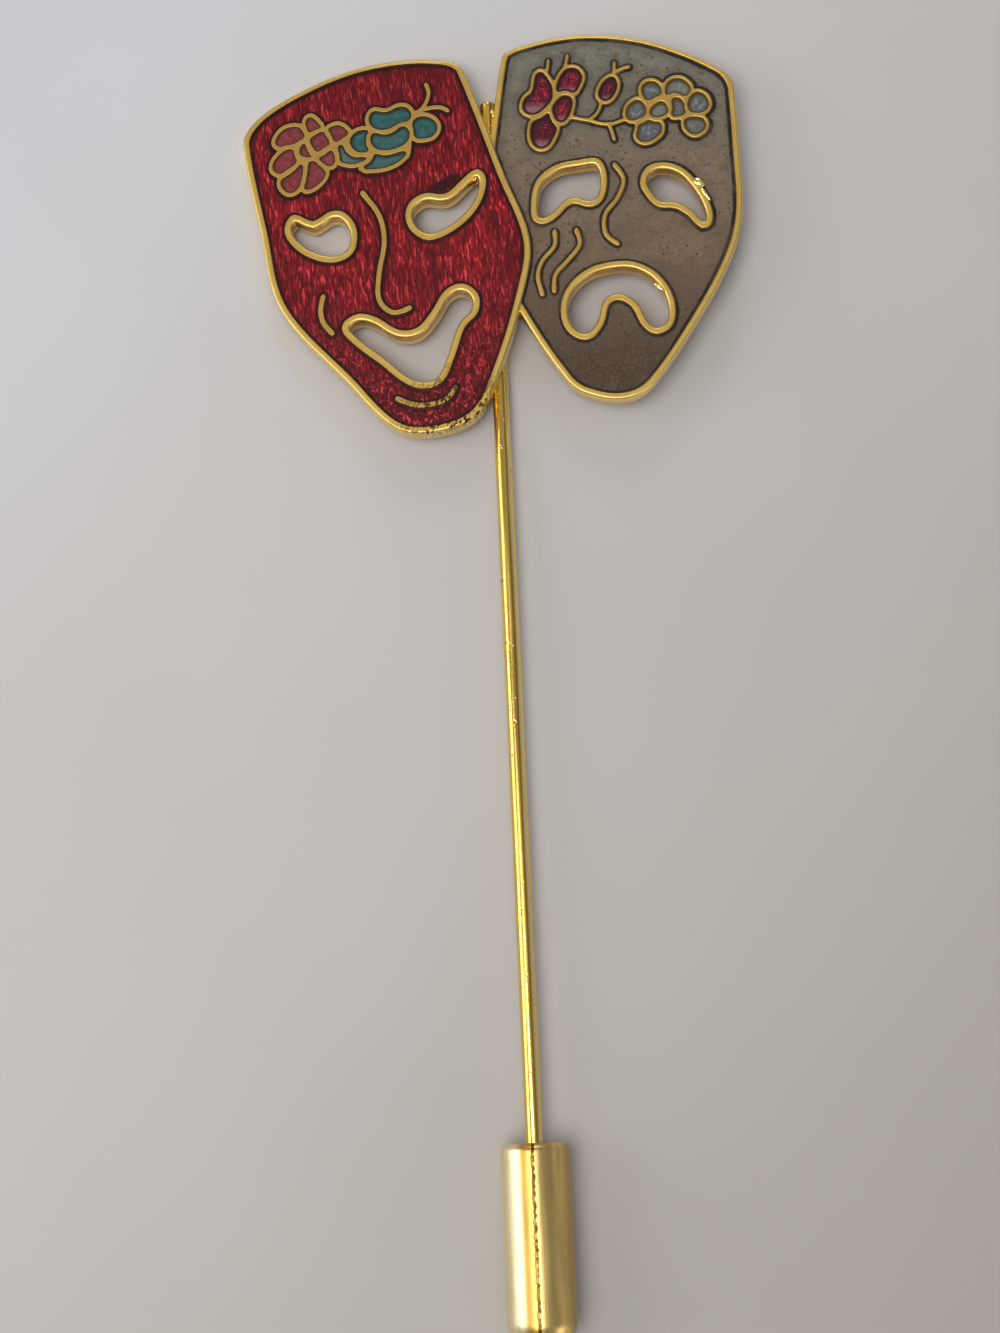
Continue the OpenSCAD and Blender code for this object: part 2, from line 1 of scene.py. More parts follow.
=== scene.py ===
"""A stick pin with two theatre masks: gilt plates, enamel, stem and clutch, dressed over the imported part."""

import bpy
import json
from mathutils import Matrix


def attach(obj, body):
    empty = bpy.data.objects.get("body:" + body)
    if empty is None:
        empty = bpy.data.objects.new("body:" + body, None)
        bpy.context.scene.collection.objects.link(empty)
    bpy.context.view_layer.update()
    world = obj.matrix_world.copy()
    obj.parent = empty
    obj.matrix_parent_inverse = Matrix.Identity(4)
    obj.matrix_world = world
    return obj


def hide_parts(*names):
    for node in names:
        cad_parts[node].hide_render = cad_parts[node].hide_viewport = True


bl_info = {
    "name": "Stick pin with two masks",
    "version": (1, 0, 0),
    "blender": (4, 5, 0),
    "location": "3D View > Sidebar > Stick pin",
    "description": "Builds the gilt masks, enamel, stem and clutch of a stick pin over its packed part",
    "category": "Add Mesh",
}

import json
import math
from collections import Counter

import bpy
import numpy as np
from bpy.props import FloatProperty, FloatVectorProperty, IntProperty, PointerProperty
from bpy.types import Operator, Panel, PropertyGroup
from mathutils.geometry import delaunay_2d_cdt

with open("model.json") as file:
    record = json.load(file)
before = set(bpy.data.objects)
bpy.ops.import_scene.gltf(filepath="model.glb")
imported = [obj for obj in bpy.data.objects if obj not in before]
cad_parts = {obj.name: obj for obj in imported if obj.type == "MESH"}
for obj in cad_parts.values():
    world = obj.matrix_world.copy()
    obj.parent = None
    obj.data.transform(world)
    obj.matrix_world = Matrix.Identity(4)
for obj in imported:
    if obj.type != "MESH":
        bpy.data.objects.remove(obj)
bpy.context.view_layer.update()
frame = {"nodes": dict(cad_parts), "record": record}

# Distances in the working below are in millimetres. The mesh is written in metres
MM = 1000.0
STEM_LENGTH = 63.5

# Heights above the stem's axis: the plates' back, then each mask's top, its pools' floor and its enamel
BACK = 0.33
HEIGHTS = {"laugh": (1.63, 1.08, 1.48), "weep": (1.43, 0.88, 1.28)}

# Rows of points beside an edge: on a plate in shares of the edge's radius, on the enamel as distances
PLATE_ROWS, PLATE_SPREAD = (0.12, 0.4, 1.0), 0.011
ENAMEL_ROWS, ENAMEL_SPREAD = (0.03, 0.09, 0.18), 0.022

# Plates: the round where the walls meet the back, in holes, along the outer edge and under the plate in front. An edge
# as near to that plate as touches it runs a little way under it. The last two are the reach of polish and painted shade
HOLE_BACK, EDGE_BACK, HIDDEN_BACK = 0.035, 0.1, 0.01
TOUCHES, RUN_UNDER = 0.06, 0.1
POLISH_REACH, EDGE_SHADE_REACH = 0.06, 0.075

# Enamel: how far it reaches into a wall, under the plate in front and into the floor, and how far its rise carries
INTO_WALL, INTO_JOIN, INTO_FLOOR, RISE_REACH = 0.04, -0.14, 0.03, 0.12
CELL_GRID = 0.09


# Sums with points

def unit(vectors):
    """Vectors over their lengths."""
    return vectors / np.maximum(np.linalg.norm(vectors, axis=-1, keepdims=True), 1e-9)


def lifted(plan, height):
    """Points of a plan (across, up) at a height."""
    return np.column_stack([plan, np.broadcast_to(height, len(plan))])


def cos_sin(degrees):
    """The cosine and the sine of an angle in degrees."""
    return math.cos(math.radians(degrees)), math.sin(math.radians(degrees))


def welded(points, units):
    """Points without their copies, and each point's number among them. Places are compared in 1 / units mm."""
    places = np.round(points * units).astype(np.int64)
    _, first, same = np.unique(places, axis=0, return_index=True, return_inverse=True)
    return points[first], same.ravel()


def thinned(points, square):
    """The first point in each square of a grid, in the order that they had."""
    first = np.unique(np.round(points / square).astype(np.int64), axis=0, return_index=True)[1]
    return points[np.sort(first)]


def node_mesh(name):
    """A node's points in mm and its triangles, with the points that share a place merged."""
    mesh = frame["nodes"][name].data
    points, corners = np.empty(len(mesh.vertices) * 3), np.empty(len(mesh.loops), dtype=np.int64)
    mesh.vertices.foreach_get("co", points)
    mesh.loops.foreach_get("vertex_index", corners)
    points, same = welded(points.reshape(-1, 3) * MM, 1000)
    return points, same[corners].reshape(-1, 3)


def triangle_turns(points, triangles):
    """The cross product of two sides of each triangle, and its length."""
    a, b, c = (points[triangles[:, k]] for k in range(3))
    turn = np.cross(b - a, c - a)
    return turn, np.linalg.norm(turn, axis=1)


def head_directions():
    """The stem's soldered end and three directions: across, up the stem, and off the masks' face.

    The directions are the rows of one array. Up is against the mount's axis. Off the face is the direction of the red
    enamel's flat top. Across is up times off. The soldered end is one stem length behind the clutch's mouth."""
    mount = next(m for m in frame["record"]["mounts"] if m["name"] == "stem")
    place = np.array(mount["pos_m"]) * MM
    along = np.array(mount["axis"]) / np.linalg.norm(mount["axis"])
    mouth = ((node_mesh("clutch_barrel")[0] - place) @ along).min()
    turn, size = triangle_turns(*node_mesh("red_enamel"))
    off = turn[turn[:, 2] > 0.99 * size].sum(axis=0)
    off -= along * (off @ along)
    off /= np.linalg.norm(off)
    return place + along * (mouth - STEM_LENGTH), np.array([np.cross(-along, off), -along, off])


ORIGIN, HEAD = head_directions()


# Outlines of the plates

def flat_triangles(name, height):
    """The triangles of a node that lie flat at a height above the stem's axis and face away from the back."""
    points, triangles = node_mesh(name)
    points = (points - ORIGIN) @ HEAD.T
    turn, size = triangle_turns(points, triangles)
    level = np.abs(points[triangles][:, :, 2] - height).max(axis=1) < 0.02
    return points[triangles[(turn[:, 2] > 0.999 * size) & (size > 1e-9) & level]][:, :, :2]


def border_edges(triangles):
    """The directed edges that only one triangle has, so the region lies on their left."""
    edges = np.concatenate([triangles[:, [0, 1]], triangles[:, [1, 2]], triangles[:, [2, 0]]])
    held = set(map(tuple, edges.tolist()))
    return [e for e in held if e[::-1] not in held]


def chained(edges):
    """Directed edges joined end to end into closed loops of point numbers, the same order every run."""
    after = {}
    for a, b in sorted(edges):
        after.setdefault(a, []).append(b)
    loops = []
    while after:
        start = min(after)
        loop = [start]
        while True:
            step = after[loop[-1]].pop()
            if not after[loop[-1]]:
                del after[loop[-1]]
            if step == start or step not in after:
                break
            loop.append(step)
        loops.append(loop)
    return loops


def loop_area(points):
    """Half the sum of the cross products of neighbours: positive where the loop runs anticlockwise."""
    after = np.roll(points, -1, axis=0)
    return 0.5 * float(np.sum(points[:, 0] * after[:, 1] - points[:, 1] * after[:, 0]))


def smooth_chain(points, closed, step, corner=38.0):
    """A polyline drawn again as a smooth curve with a point every step.

    Each side becomes a cubic whose end slopes are the mean direction of the sides that meet there, weighted by the
    other side's length. A point where the line turns by more than the corner angle keeps its own two slopes. Then each
    point moves twice to a quarter, half, quarter mean of itself and its neighbours."""
    keep = np.linalg.norm(points - np.roll(points, 1, axis=0), axis=1) > 0.03
    keep[0] = True
    keep[-1] |= not closed
    if keep.sum() >= 4:
        points = points[keep]
    after = np.roll(points, -1, axis=0)
    length = np.linalg.norm(after - points, axis=1)
    way = unit(after - points)
    before_way, before_length = np.roll(way, 1, axis=0), np.roll(length, 1)
    mean = unit(before_way * length[:, None] + way * before_length[:, None])
    sharp = np.sum(before_way * way, axis=1) < cos_sin(corner)[0]
    sharp[[0, -1]] |= not closed
    leave = np.where(sharp[:, None], way, mean)
    reach = np.roll(np.where(sharp[:, None], before_way, mean), -1, axis=0)
    last = len(points) if closed else len(points) - 1
    count = np.maximum(np.ceil(length / step).astype(int), 1)[:last]
    owner = np.repeat(np.arange(last), count)
    t = ((np.arange(len(owner)) - (np.cumsum(count) - count)[owner]) / count[owner])[:, None]
    span = length[owner][:, None]
    curve = ((2 * t**3 - 3 * t**2 + 1) * points[owner] + (t**3 - 2 * t**2 + t) * span * leave[owner]
             + (-2 * t**3 + 3 * t**2) * after[owner] + (t**3 - t**2) * span * reach[owner])
    if not closed:
        curve = np.concatenate([curve, points[-1:]])
    for _ in range(2):
        mixed = 0.25 * np.roll(curve, 1, axis=0) + 0.5 * curve + 0.25 * np.roll(curve, -1, axis=0)
        if not closed:
            mixed[[0, -1]] = curve[[0, -1]]
        curve = mixed
    return curve


def nearest_edges(points, starts, ends, reach):
    """For each point the distance to the nearest edge, up to reach, and the direction from the edge to the point.

    The distance to an edge is that to its nearest place, start + t * side, with t held between 0 and 1. The points are
    taken one square of a grid at a time, against the edges whose box comes within reach of that square's points."""
    distance, away = np.full(len(points), reach), np.zeros((len(points), 2))
    if not len(starts) or not len(points):
        return distance, away
    low, high = np.minimum(starts, ends) - reach, np.maximum(starts, ends) + reach
    cell = np.floor(points / max(reach, 0.8)).astype(np.int64)
    order = np.lexsort((cell[:, 1], cell[:, 0]))
    breaks = np.flatnonzero(np.any(np.diff(cell[order], axis=0) != 0, axis=1)) + 1
    for group in np.split(order, breaks):
        here = points[group]
        close = np.flatnonzero(np.all((high > here.min(axis=0)) & (low < here.max(axis=0)), axis=1))
        if not len(close):
            continue
        side = ends[close] - starts[close]
        gap = here[:, None, :] - starts[close][None, :, :]
        t = np.clip(np.sum(gap * side, axis=2) / np.maximum(np.sum(side * side, axis=1), 1e-12), 0, 1)
        gap = gap - t[:, :, None] * side
        best = np.argmin(np.sum(gap * gap, axis=2), axis=1)
        gap = gap[np.arange(len(group)), best]
        d = np.linalg.norm(gap, axis=1)
        near = d < reach
        distance[group[near]] = d[near]
        away[group[near]] = unit(gap[near])
    return distance, away


class Outline:
    """The plan of one mask: the smoothed lines between metal, pools and the outside, as numbered points.

    points is the plan, walls holds directed edges with metal on the left and a pool on the right, rims those with metal
    on the left and the outside on the right, and joins those with a pool on the left and the outside on the right.
    metal_loops, pool_loops and outer_loops are the closed loops round the metal, the pools and both together, and
    raw_pools the pools' unsmoothed loops."""

    def __init__(self, top, floor, step):
        metal, pool = flat_triangles("mask_frame", top), flat_triangles("mask_frame", floor)
        raw, same = welded(np.concatenate([metal, pool]).reshape(-1, 2), 1000)
        near = np.abs(raw[:, None, :] - raw[None, :, :]).max(axis=2) < 0.003
        same = np.argmax(near, axis=1)[same].reshape(-1, 3)
        metal_edges, pool_edges = border_edges(same[:len(metal)]), border_edges(same[len(metal):])
        metal_set, pool_set = set(metal_edges), set(pool_edges)
        kind = {e: "wall" if e[::-1] in pool_set else "rim" for e in metal_edges}
        kind.update({e: "join" for e in pool_edges if e[::-1] not in metal_set})
        onward, ends_at = dict(kind.keys()), Counter(p for e in kind for p in e)
        junctions = {p for p, count in ends_at.items() if count != 2}
        chain_of, number, points, total = {}, {}, [], 0
        edges = {"wall": [], "rim": [], "join": []}
        for a, b in sorted(kind, key=lambda e: (e[0] not in junctions, e)):
            if (a, b) in chain_of:
                continue
            line = [a, b]
            while line[-1] not in junctions and line[-1] != a:
                line.append(onward[line[-1]])
            closed = line[-1] == a
            curve = smooth_chain(raw[line[:-1] if closed else line], closed, step)
            if closed:
                ids = [*range(total, total + len(curve)), total]
            else:
                for end in (0, -1):
                    if line[end] not in number:
                        number[line[end]] = total
                        points.append(curve[end][None, :])
                        total += 1
                curve = curve[1:-1]
                ids = [number[a], *range(total, total + len(curve)), number[line[-1]]]
            points.append(curve)
            total += len(curve)
            edges[kind[(a, b)]] += zip(ids[:-1], ids[1:])
            chain_of.update(dict.fromkeys(zip(line[:-1], line[1:]), ids))
        self.points = np.concatenate(points)
        self.walls, self.rims, self.joins = (np.array(e, dtype=np.int64).reshape(-1, 2) for e in edges.values())

        def drawn(loop):
            """A raw loop, begun at a junction where it has one, as smooth points: each chain the way that it runs."""
            start = next((i for i, p in enumerate(loop) if p in junctions), 0)
            loop = loop[start:] + loop[:start]
            ids, seen = [], set()
            for e in zip(loop, loop[1:] + loop[:1]):
                chain = chain_of.get(e) or chain_of[e[::-1]]
                if id(chain) not in seen:
                    seen.add(id(chain))
                    ids += (chain if e in chain_of else chain[::-1])[:-1]
            return ids

        raw_pools = chained(pool_edges)
        outside = chained([e for e, k in kind.items() if k != "wall"])
        self.metal_loops, self.pool_loops, self.outer_loops = (
            [drawn(loop) for loop in loops] for loops in (chained(metal_edges), raw_pools, outside))
        self.raw_pools = [raw[loop] for loop in raw_pools]
        self.thin_top()

    def thin_top(self, most=0.13, reach=0.62):
        """Draws the pools nearer to the outer edge along the mask's top, where the rim is narrower.

        A wall point less than reach from the outer edge moves towards it by most times the square of the upward part of
        the way there."""
        walls = np.unique(self.walls)
        gap, away = nearest_edges(self.points[walls], *self.ring_edges(), reach)
        upward = np.clip(-away[:, 1] - 0.1, 0, 1) / 0.9
        self.points[walls] -= away * (most * upward**2 * (gap < reach - 0.01))[:, None]

    def ring(self):
        """The largest loop against the outside, as point numbers."""
        return max(self.outer_loops, key=lambda loop: loop_area(self.points[loop]))

    def ring_edges(self):
        """The starts and the ends of that loop's edges."""
        ring = self.points[self.ring()]
        return ring, np.roll(ring, -1, axis=0)

    def side_directions(self):
        """For each point the mean direction to the left of the edges that leave and reach it."""
        edges = np.concatenate([self.walls, self.rims, self.joins])
        way = unit(self.points[edges[:, 1]] - self.points[edges[:, 0]])
        left = np.stack([-way[:, 1], way[:, 0]], axis=1)
        total = np.zeros_like(self.points)
        for end in (0, 1):
            np.add.at(total, edges[:, end], left)
        return unit(total)


OUTLINES = {}


def outlines(step):
    """Both masks' plans, worked out once for each point spacing."""
    if step not in OUTLINES:
        OUTLINES[step] = {mask: Outline(*heights[:2], step) for mask, heights in HEIGHTS.items()}
    return OUTLINES[step]


# Meshes from sheets

class Sheets:
    """Welded points with faces, the direction that each face's corner is shaded in, and values kept for each point.

    A value that isn't given for some points is 0 there."""

    def __init__(self):
        self.points, self.faces, self.shades, self.values, self.count = [], [], [], {}, 0

    def add_points(self, points, **values):
        """Adds points (across, up, off in mm) and their values. Returns the number of each, in the points' layout."""
        flat = np.asarray(points, dtype=float).reshape(-1, 3)
        self.points.append(flat)
        for key, value in values.items():
            self.values.setdefault(key, []).append((self.count, np.zeros(len(flat)) + value))
        self.count += len(flat)
        return np.arange(self.count - len(flat), self.count).reshape(np.shape(points)[:-1])

    def add_faces(self, faces, shades):
        """Adds triangles or four-sided faces with a shading direction for each corner, or one for all."""
        if len(faces):
            self.faces.append(faces)
            self.shades.append(np.broadcast_to(np.asarray(shades, dtype=float), (*faces.shape, 3)).reshape(-1, 3))

    def add_band(self, upper, lower, edges, shades, lower_shades=None):
        """Adds the faces between the edges of two rows of points, with a shading direction for each point."""
        a, b = edges.T
        below = shades if lower_shades is None else lower_shades
        self.add_faces(np.stack([upper[a], lower[a], lower[b], upper[b]], axis=1),
                       np.stack([shades[a], below[a], below[b], shades[b]], axis=1))

    def add_rounds(self, ids, upper, lower):
        """Adds the faces between neighbouring rings of points, with shading directions for both sides of each row.

        A ring whose numbers are all the same is one point, with triangles round it."""
        def corners(a, b):
            return np.stack([a, np.roll(a, -1, axis=1), np.roll(b, -1, axis=1), b], axis=2)

        quads = corners(ids[:-1], ids[1:]).reshape(-1, 4)
        shades = corners(upper, lower).reshape(-1, 4, 3)
        top, foot = quads[:, 0] == quads[:, 1], quads[:, 2] == quads[:, 3]
        for rows, kept in ((~top & ~foot, [0, 1, 2, 3]), (top, [0, 2, 3]), (foot & ~top, [0, 1, 2])):
            self.add_faces(quads[rows][:, kept], shades[rows][:, kept])

    def make(self, name, material, body, nodes, slot):
        """Writes the mesh in metres, leaves out points that no face uses, hangs the piece on its body's empty and hides
        the nodes that it stands for.
        """
        points = np.concatenate(self.points)
        used = np.zeros(len(points), dtype=bool)
        for faces in self.faces:
            used[faces.ravel()] = True
        number = np.cumsum(used) - 1
        sizes = np.concatenate([np.full(len(f), f.shape[1]) for f in self.faces])
        corners = np.concatenate([number[f].ravel() for f in self.faces])
        mesh = bpy.data.meshes.new(name)
        mesh.vertices.add(int(used.sum()))
        mesh.vertices.foreach_set("co", ((points[used] @ HEAD + ORIGIN) / MM).ravel())
        mesh.loops.add(len(corners))
        mesh.loops.foreach_set("vertex_index", corners.astype(np.int32))
        mesh.polygons.add(len(sizes))
        mesh.polygons.foreach_set("loop_start", (np.cumsum(sizes) - sizes).astype(np.int32))
        mesh.update(calc_edges=True)
        mesh.polygons.foreach_set("use_smooth", np.ones(len(sizes), dtype=bool))
        for key, parts in self.values.items():
            filled = np.zeros(len(points))
            for start, value in parts:
                filled[start:start + len(value)] = value
            mesh.attributes.new(key, "FLOAT", "POINT").data.foreach_set("value", filled[used].astype(np.float32))
        mesh.normals_split_custom_set(unit(np.concatenate(self.shades) @ HEAD).tolist())
        mesh.materials.append(material)
        piece = bpy.data.objects.new(name, mesh)
        bpy.context.collection.objects.link(piece)
        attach(piece, body)
        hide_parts(*nodes)
        return piece


def triangulated(points, loops):
    """Triangles between points that keep every loop's edges, and for each triangle which loops hold it."""
    loops = [loop if loop_area(points[loop]) > 0 else loop[::-1] for loop in loops]
    _, _, faces, sources, _, holders = delaunay_2d_cdt([tuple(p) for p in points.tolist()], [], loops, 0, 1e-6, True)
    faces = np.array([s[0] if s else -1 for s in sources])[np.array(faces, dtype=np.int64)]
    good = (faces >= 0).all(axis=1)
    held = np.array([[k in holder for k in range(len(loops))] for holder in map(set, holders)])
    faces = faces[good]
    a, b, c = (points[faces[:, k]] for k in range(3))
    turned_over = (b - a)[:, 0] * (c - a)[:, 1] - (b - a)[:, 1] * (c - a)[:, 0] < 0
    faces[turned_over] = faces[turned_over][:, ::-1]
    return faces, held[good]


def odd(held):
    """Whether each triangle lies inside an odd number of loops."""
    return held.sum(axis=1) % 2 == 1


def filled_loops(points, loops):
    """The triangles that lie inside an odd number of the loops."""
    faces, held = triangulated(points, loops)
    return faces[odd(held)]


def build_plate(name, outline, heights, rounds, material, under=None, worn=None):
    """One mask's metal as a closed shell.

    The metal's top stands at top less a quarter circle's drop, radius - sqrt(radius^2 - (radius - distance)^2), for
    each kind of edge nearer than its radius: rounds holds that of the pools, the outer edge and the holes. Walls join
    it to the pools' floors and to the back, whose outer edge is drawn in by a small round. under is the outline of the
    plate that lies over this one: edges that touch it have no round and run a little way into it. worn is a place and
    a size, (across, up, size): the metal is pitted there, by exp(-(distance / size)^4)."""
    top, floor, _ = heights
    points, left = outline.points.copy(), outline.side_directions()
    rims, count = outline.rims, len(outline.points)
    back_round = np.full(count, HOLE_BACK)
    touching, outer = np.zeros((2, count), dtype=bool)
    if under is not None:
        distance, _ = nearest_edges(points, *under.ring_edges(), 0.6)
        domain = np.unique(np.concatenate([rims, outline.joins]))
        touching[domain] = distance[domain] < TOUCHES
        touching[outline.joins] = True
        points[touching] -= left[touching] * RUN_UNDER
        back_round[touching] = HIDDEN_BACK
    outer[outline.ring()] = True
    back_round[outer & ~touching] = EDGE_BACK
    outside = outer[rims].all(axis=1)
    kinds = tuple(zip((outline.walls, rims[outside & ~touching[rims].all(axis=1)], rims[~outside]), rounds))
    radius = np.zeros(count)
    for edges, r in kinds:
        radius[edges] = r
    seeds = np.flatnonzero(radius)
    wanted = np.concatenate([radius[seeds] * part for part in PLATE_ROWS])
    spread = np.tile(seeds, len(PLATE_ROWS))
    rows = points[spread] + left[spread] * wanted[:, None]
    every = np.concatenate([outline.walls, rims, outline.joins])
    gap, _ = nearest_edges(rows, *points[every].swapaxes(0, 1), 0.4)
    plan = np.concatenate([points, thinned(rows[gap > wanted * 0.9], PLATE_SPREAD)])
    drop, slope, near = np.zeros(len(plan)), np.zeros((len(plan), 2)), []
    for edges, r in kinds:
        distance, away = nearest_edges(plan, *points[edges].swapaxes(0, 1), 0.6)
        near.append(distance)
        inside = np.clip(1 - distance / r, 0, 0.999)
        drop += r * (1 - np.sqrt(1 - inside**2)) * (distance < r)
        slope += (inside / np.sqrt(1 - inside**2))[:, None] * away
    # A point on an edge faces straight out, along the reverse of its left side
    shade = unit(lifted(-slope, 1.0))
    shade[seeds] = lifted(-left[seeds], 0.03)
    drop = np.minimum(drop, max(rounds))
    drop[seeds] = radius[seeds]
    inner = np.zeros(len(plan))
    inner[rims[~outside]] = 1.0
    pitted = np.exp(-(np.linalg.norm(plan - np.array(worn[:2]), axis=1) / worn[2]) ** 4) if worn else 0.0
    sheets = Sheets()
    # The metal beside the enamel is darkened by painted shade, strongest at the pool walls.
    tops = sheets.add_points(lifted(plan, top - drop), bright=np.exp(-np.minimum(near[1], near[2]) / POLISH_REACH),
                             tarnish=np.exp(-near[0] / EDGE_SHADE_REACH), inner=inner, pitted=pitted)
    faces, held = triangulated(plan, outline.metal_loops + outline.pool_loops)
    metal, pool = odd(held[:, :len(outline.metal_loops)]), odd(held[:, len(outline.metal_loops):])
    sheets.add_faces(tops[faces[metal]], shade[faces[metal]])
    low = sheets.add_points(lifted(points, floor), tarnish=1.0)
    sheets.add_faces(low[faces[pool & ~metal & (faces < count).all(axis=1)]], (0, 0, 1))
    # Walls of the pools, then those of the rims and holes and the round where they meet the back
    out, down = lifted(-left, 0.0), unit(lifted(-left, -8.0))
    sheets.add_band(tops, low, outline.walls, out)
    foot = sheets.add_points(lifted(points, BACK + back_round), bright=1.0, wall=1.0, inner=inner[:count])
    drawn_in = points + left * back_round[:, None]
    base = sheets.add_points(lifted(drawn_in, BACK), bright=0.3, wall=0.3)
    for edges, upper in ((rims, tops), (outline.joins, low)):
        sheets.add_band(upper, foot, edges, out)
        sheets.add_band(foot, base, edges, out, down)
    sheets.add_faces(base[filled_loops(drawn_in, outline.outer_loops)[:, ::-1]], (0, 0, -1))
    return sheets.make(name, material, "pin", ("mask_frame",), "gilt_plate")


def pool_owners(outline, names, height):
    """Which enamel node lies in each pool: the one with an outline whose box is nearest to the pool's.

    A hole in a pool belongs to the smallest pool round it. A pool is round a point if its loop crosses the level line
    to the point's right an odd number of times."""
    boxes, owners = [], []
    for name in names:
        flat, same = welded(flat_triangles(name, height).reshape(-1, 2), 500)
        for loop in chained(border_edges(same.reshape(-1, 3))):
            if loop_area(flat[loop]) > 0:
                boxes.append([*flat[loop].min(axis=0), *flat[loop].max(axis=0)])
                owners.append(name)
    found = []
    for loop in outline.raw_pools:
        off = np.abs(np.array(boxes) - [*loop.min(axis=0), *loop.max(axis=0)]).max(axis=1)
        found.append(owners[int(np.argmin(off))] if loop_area(loop) > 0 and off.min() < 0.12 else None)
    missing = set(names) - set(found)
    if missing:
        raise RuntimeError(f"no pool was found for {sorted(missing)}")
    loops = [outline.points[loop] for loop in outline.pool_loops]
    whole = [(loop_area(loop), name, loop) for loop, name in zip(loops, found) if name]

    def holds(loop, p):
        after = np.roll(loop, -1, axis=0)
        crosses = (loop[:, 1] > p[1]) != (after[:, 1] > p[1])
        a, b = loop[crosses], after[crosses]
        return (a[:, 0] + (p[1] - a[:, 1]) / (b[:, 1] - a[:, 1]) * (b[:, 0] - a[:, 0]) > p[0]).sum() % 2

    return [name or min((area, other) for area, other, round_it in whole if holds(round_it, loop[0]))[1]
            for name, loop in zip(found, loops)]


# Cells that are paler than the others, and the dark patches in the red

CELL_TONES = {"teal_cell_1": 1.0, "teal_cell_3": 0.35, "teal_cell_4": 0.15, "pink_cell_5": 0.25, "pink_cell_8": 0.3,
              "pink_cell_6": 0.2, "ruby_cell_1": 0.75, "ruby_cell_5": 0.6, "pale_cell_6": 0.6, "pale_cell_8": 0.6,
              "pale_cell_2": 0.3}
SMUDGES = {"red_enamel": ((-2.9, -5.75, 1.5, 0.42, 30.0), (-4.3, -6.6, 0.7, 0.35, 20.0))}


def build_enamel(name, outline, owners, nodes, heights, rise, grid, material, slot):
    """Enamel in some of a mask's pools, as closed slabs.

    The top stands at height + rise * exp(-distance / RISE_REACH) from the metal's walls, as wet glass does. Its
    rim runs a little way into the walls, and its underside a little way into the floor. Smudges are dark patches
    (across, up, half width, half height, turn), each exp(-distance^4) in its own units."""
    _, floor, height = heights
    points, left = outline.points, outline.side_directions()
    push = np.zeros(len(points))
    push[outline.walls], push[outline.joins] = INTO_WALL, INTO_JOIN
    outward = -left * np.where(push < 0, -1, 1)[:, None]
    starts, ends = points[np.concatenate([outline.walls, outline.joins])].swapaxes(0, 1)
    pushed = points + left * push[:, None]
    loops, tones = zip(*((loop, CELL_TONES.get(owner, 0.0)) for loop, owner in zip(outline.pool_loops, owners)
                         if owner in nodes))
    ids = np.unique(np.concatenate(loops))
    low, high = pushed[ids].min(axis=0), pushed[ids].max(axis=0)
    hexes = np.stack(np.meshgrid(np.arange(low[0], high[0], grid), np.arange(low[1], high[1], grid * 0.866)), axis=2)
    hexes[1::2, :, 0] += grid / 2
    hexes = hexes.reshape(-1, 2)
    hexes = hexes[nearest_edges(hexes, starts, ends, 0.5)[0] > 0.24]
    wanted, spread = np.repeat(ENAMEL_ROWS, len(ids)), np.tile(ids, len(ENAMEL_ROWS))
    rows = points[spread] + outward[spread] * wanted[:, None]
    rows = thinned(rows[nearest_edges(rows, starts, ends, 0.5)[0] > wanted * 0.9], ENAMEL_SPREAD)
    plan = np.concatenate([pushed, rows, hexes])
    distance, away = nearest_edges(plan, starts, ends, 1.2)
    distance[:len(points)], away[:len(points)] = 0, outward
    fall = np.exp(-distance / RISE_REACH)
    shade = unit(lifted(away * (rise / RISE_REACH * fall)[:, None], 1.0))
    # How far right in its own cell and how far up it each point stands, from 0 to 1
    part, tone, smudge = np.zeros((len(plan), 2)), np.zeros(len(plan)), np.zeros(len(plan))
    for loop, cell_tone in zip(loops, tones):
        area = loop_area(pushed[loop])
        if area <= 0:
            continue
        low, high = pushed[loop].min(axis=0), pushed[loop].max(axis=0)
        held = np.all((plan >= low - 0.01) & (plan <= high + 0.01), axis=1)
        if area < 6:
            held &= np.sum(((plan - (low + high) / 2) / (high - low + 0.01)) ** 2, axis=1) < 0.3
            held[loop] = True
        part[held] = ((plan[held] - low) / (high - low)).clip(0, 1)
        tone[held] = cell_tone
    for x, y, wide, tall, turn in SMUDGES.get(slot, ()):
        c, s = cos_sin(turn)
        place = (plan - (x, y)) @ np.array([[c, -s], [s, c]]) / (wide, tall)
        smudge = np.maximum(smudge, np.exp(-np.sum(place**2, axis=1) ** 2))
    sheets = Sheets()
    tops = sheets.add_points(lifted(plan, height + rise * fall), edge=distance, part_up=part[:, 1],
                             part_right=part[:, 0], tone=tone, smudge=smudge)
    faces = filled_loops(plan, loops)
    sheets.add_faces(tops[faces], shade[faces])
    bottom = sheets.add_points(lifted(pushed, floor - INTO_FLOOR), part_up=0.5, part_right=0.5)
    sheets.add_faces(bottom[filled_loops(pushed, loops)[:, ::-1]], (0, 0, -1))
    for loop in loops:
        a, b = np.array(loop), np.roll(loop, -1)
        way = pushed[b] - pushed[a]
        out = np.column_stack([way[:, 1], -way[:, 0], np.zeros(len(a))])
        sheets.add_faces(np.stack([tops[a], bottom[a], bottom[b], tops[b]], axis=1), out[:, None, :])
    return sheets.make(name, material, "pin", nodes, slot)


# Small burrs of metal, most set where they catch the lamps as glints: place in the head's frame, half sizes, and turn
# in degrees

BURRS = (((12.7, -6.6, 1.44), (0.36, 0.26, 0.15), -40.0), ((13.05, -7.32, 1.38), (0.5, 0.12, 0.11), -60.0),
         ((10.0, -13.2, 1.38), (0.3, 0.14, 0.14), -40.0), ((9.75, -12.95, 1.36), (0.14, 0.1, 0.1), -30.0),
         ((0.3, -1.05, 1.15), (0.12, 0.14, 0.12), 0.0), ((0.36, -1.3, 1.2), (0.08, 0.14, 0.1), -10.0))


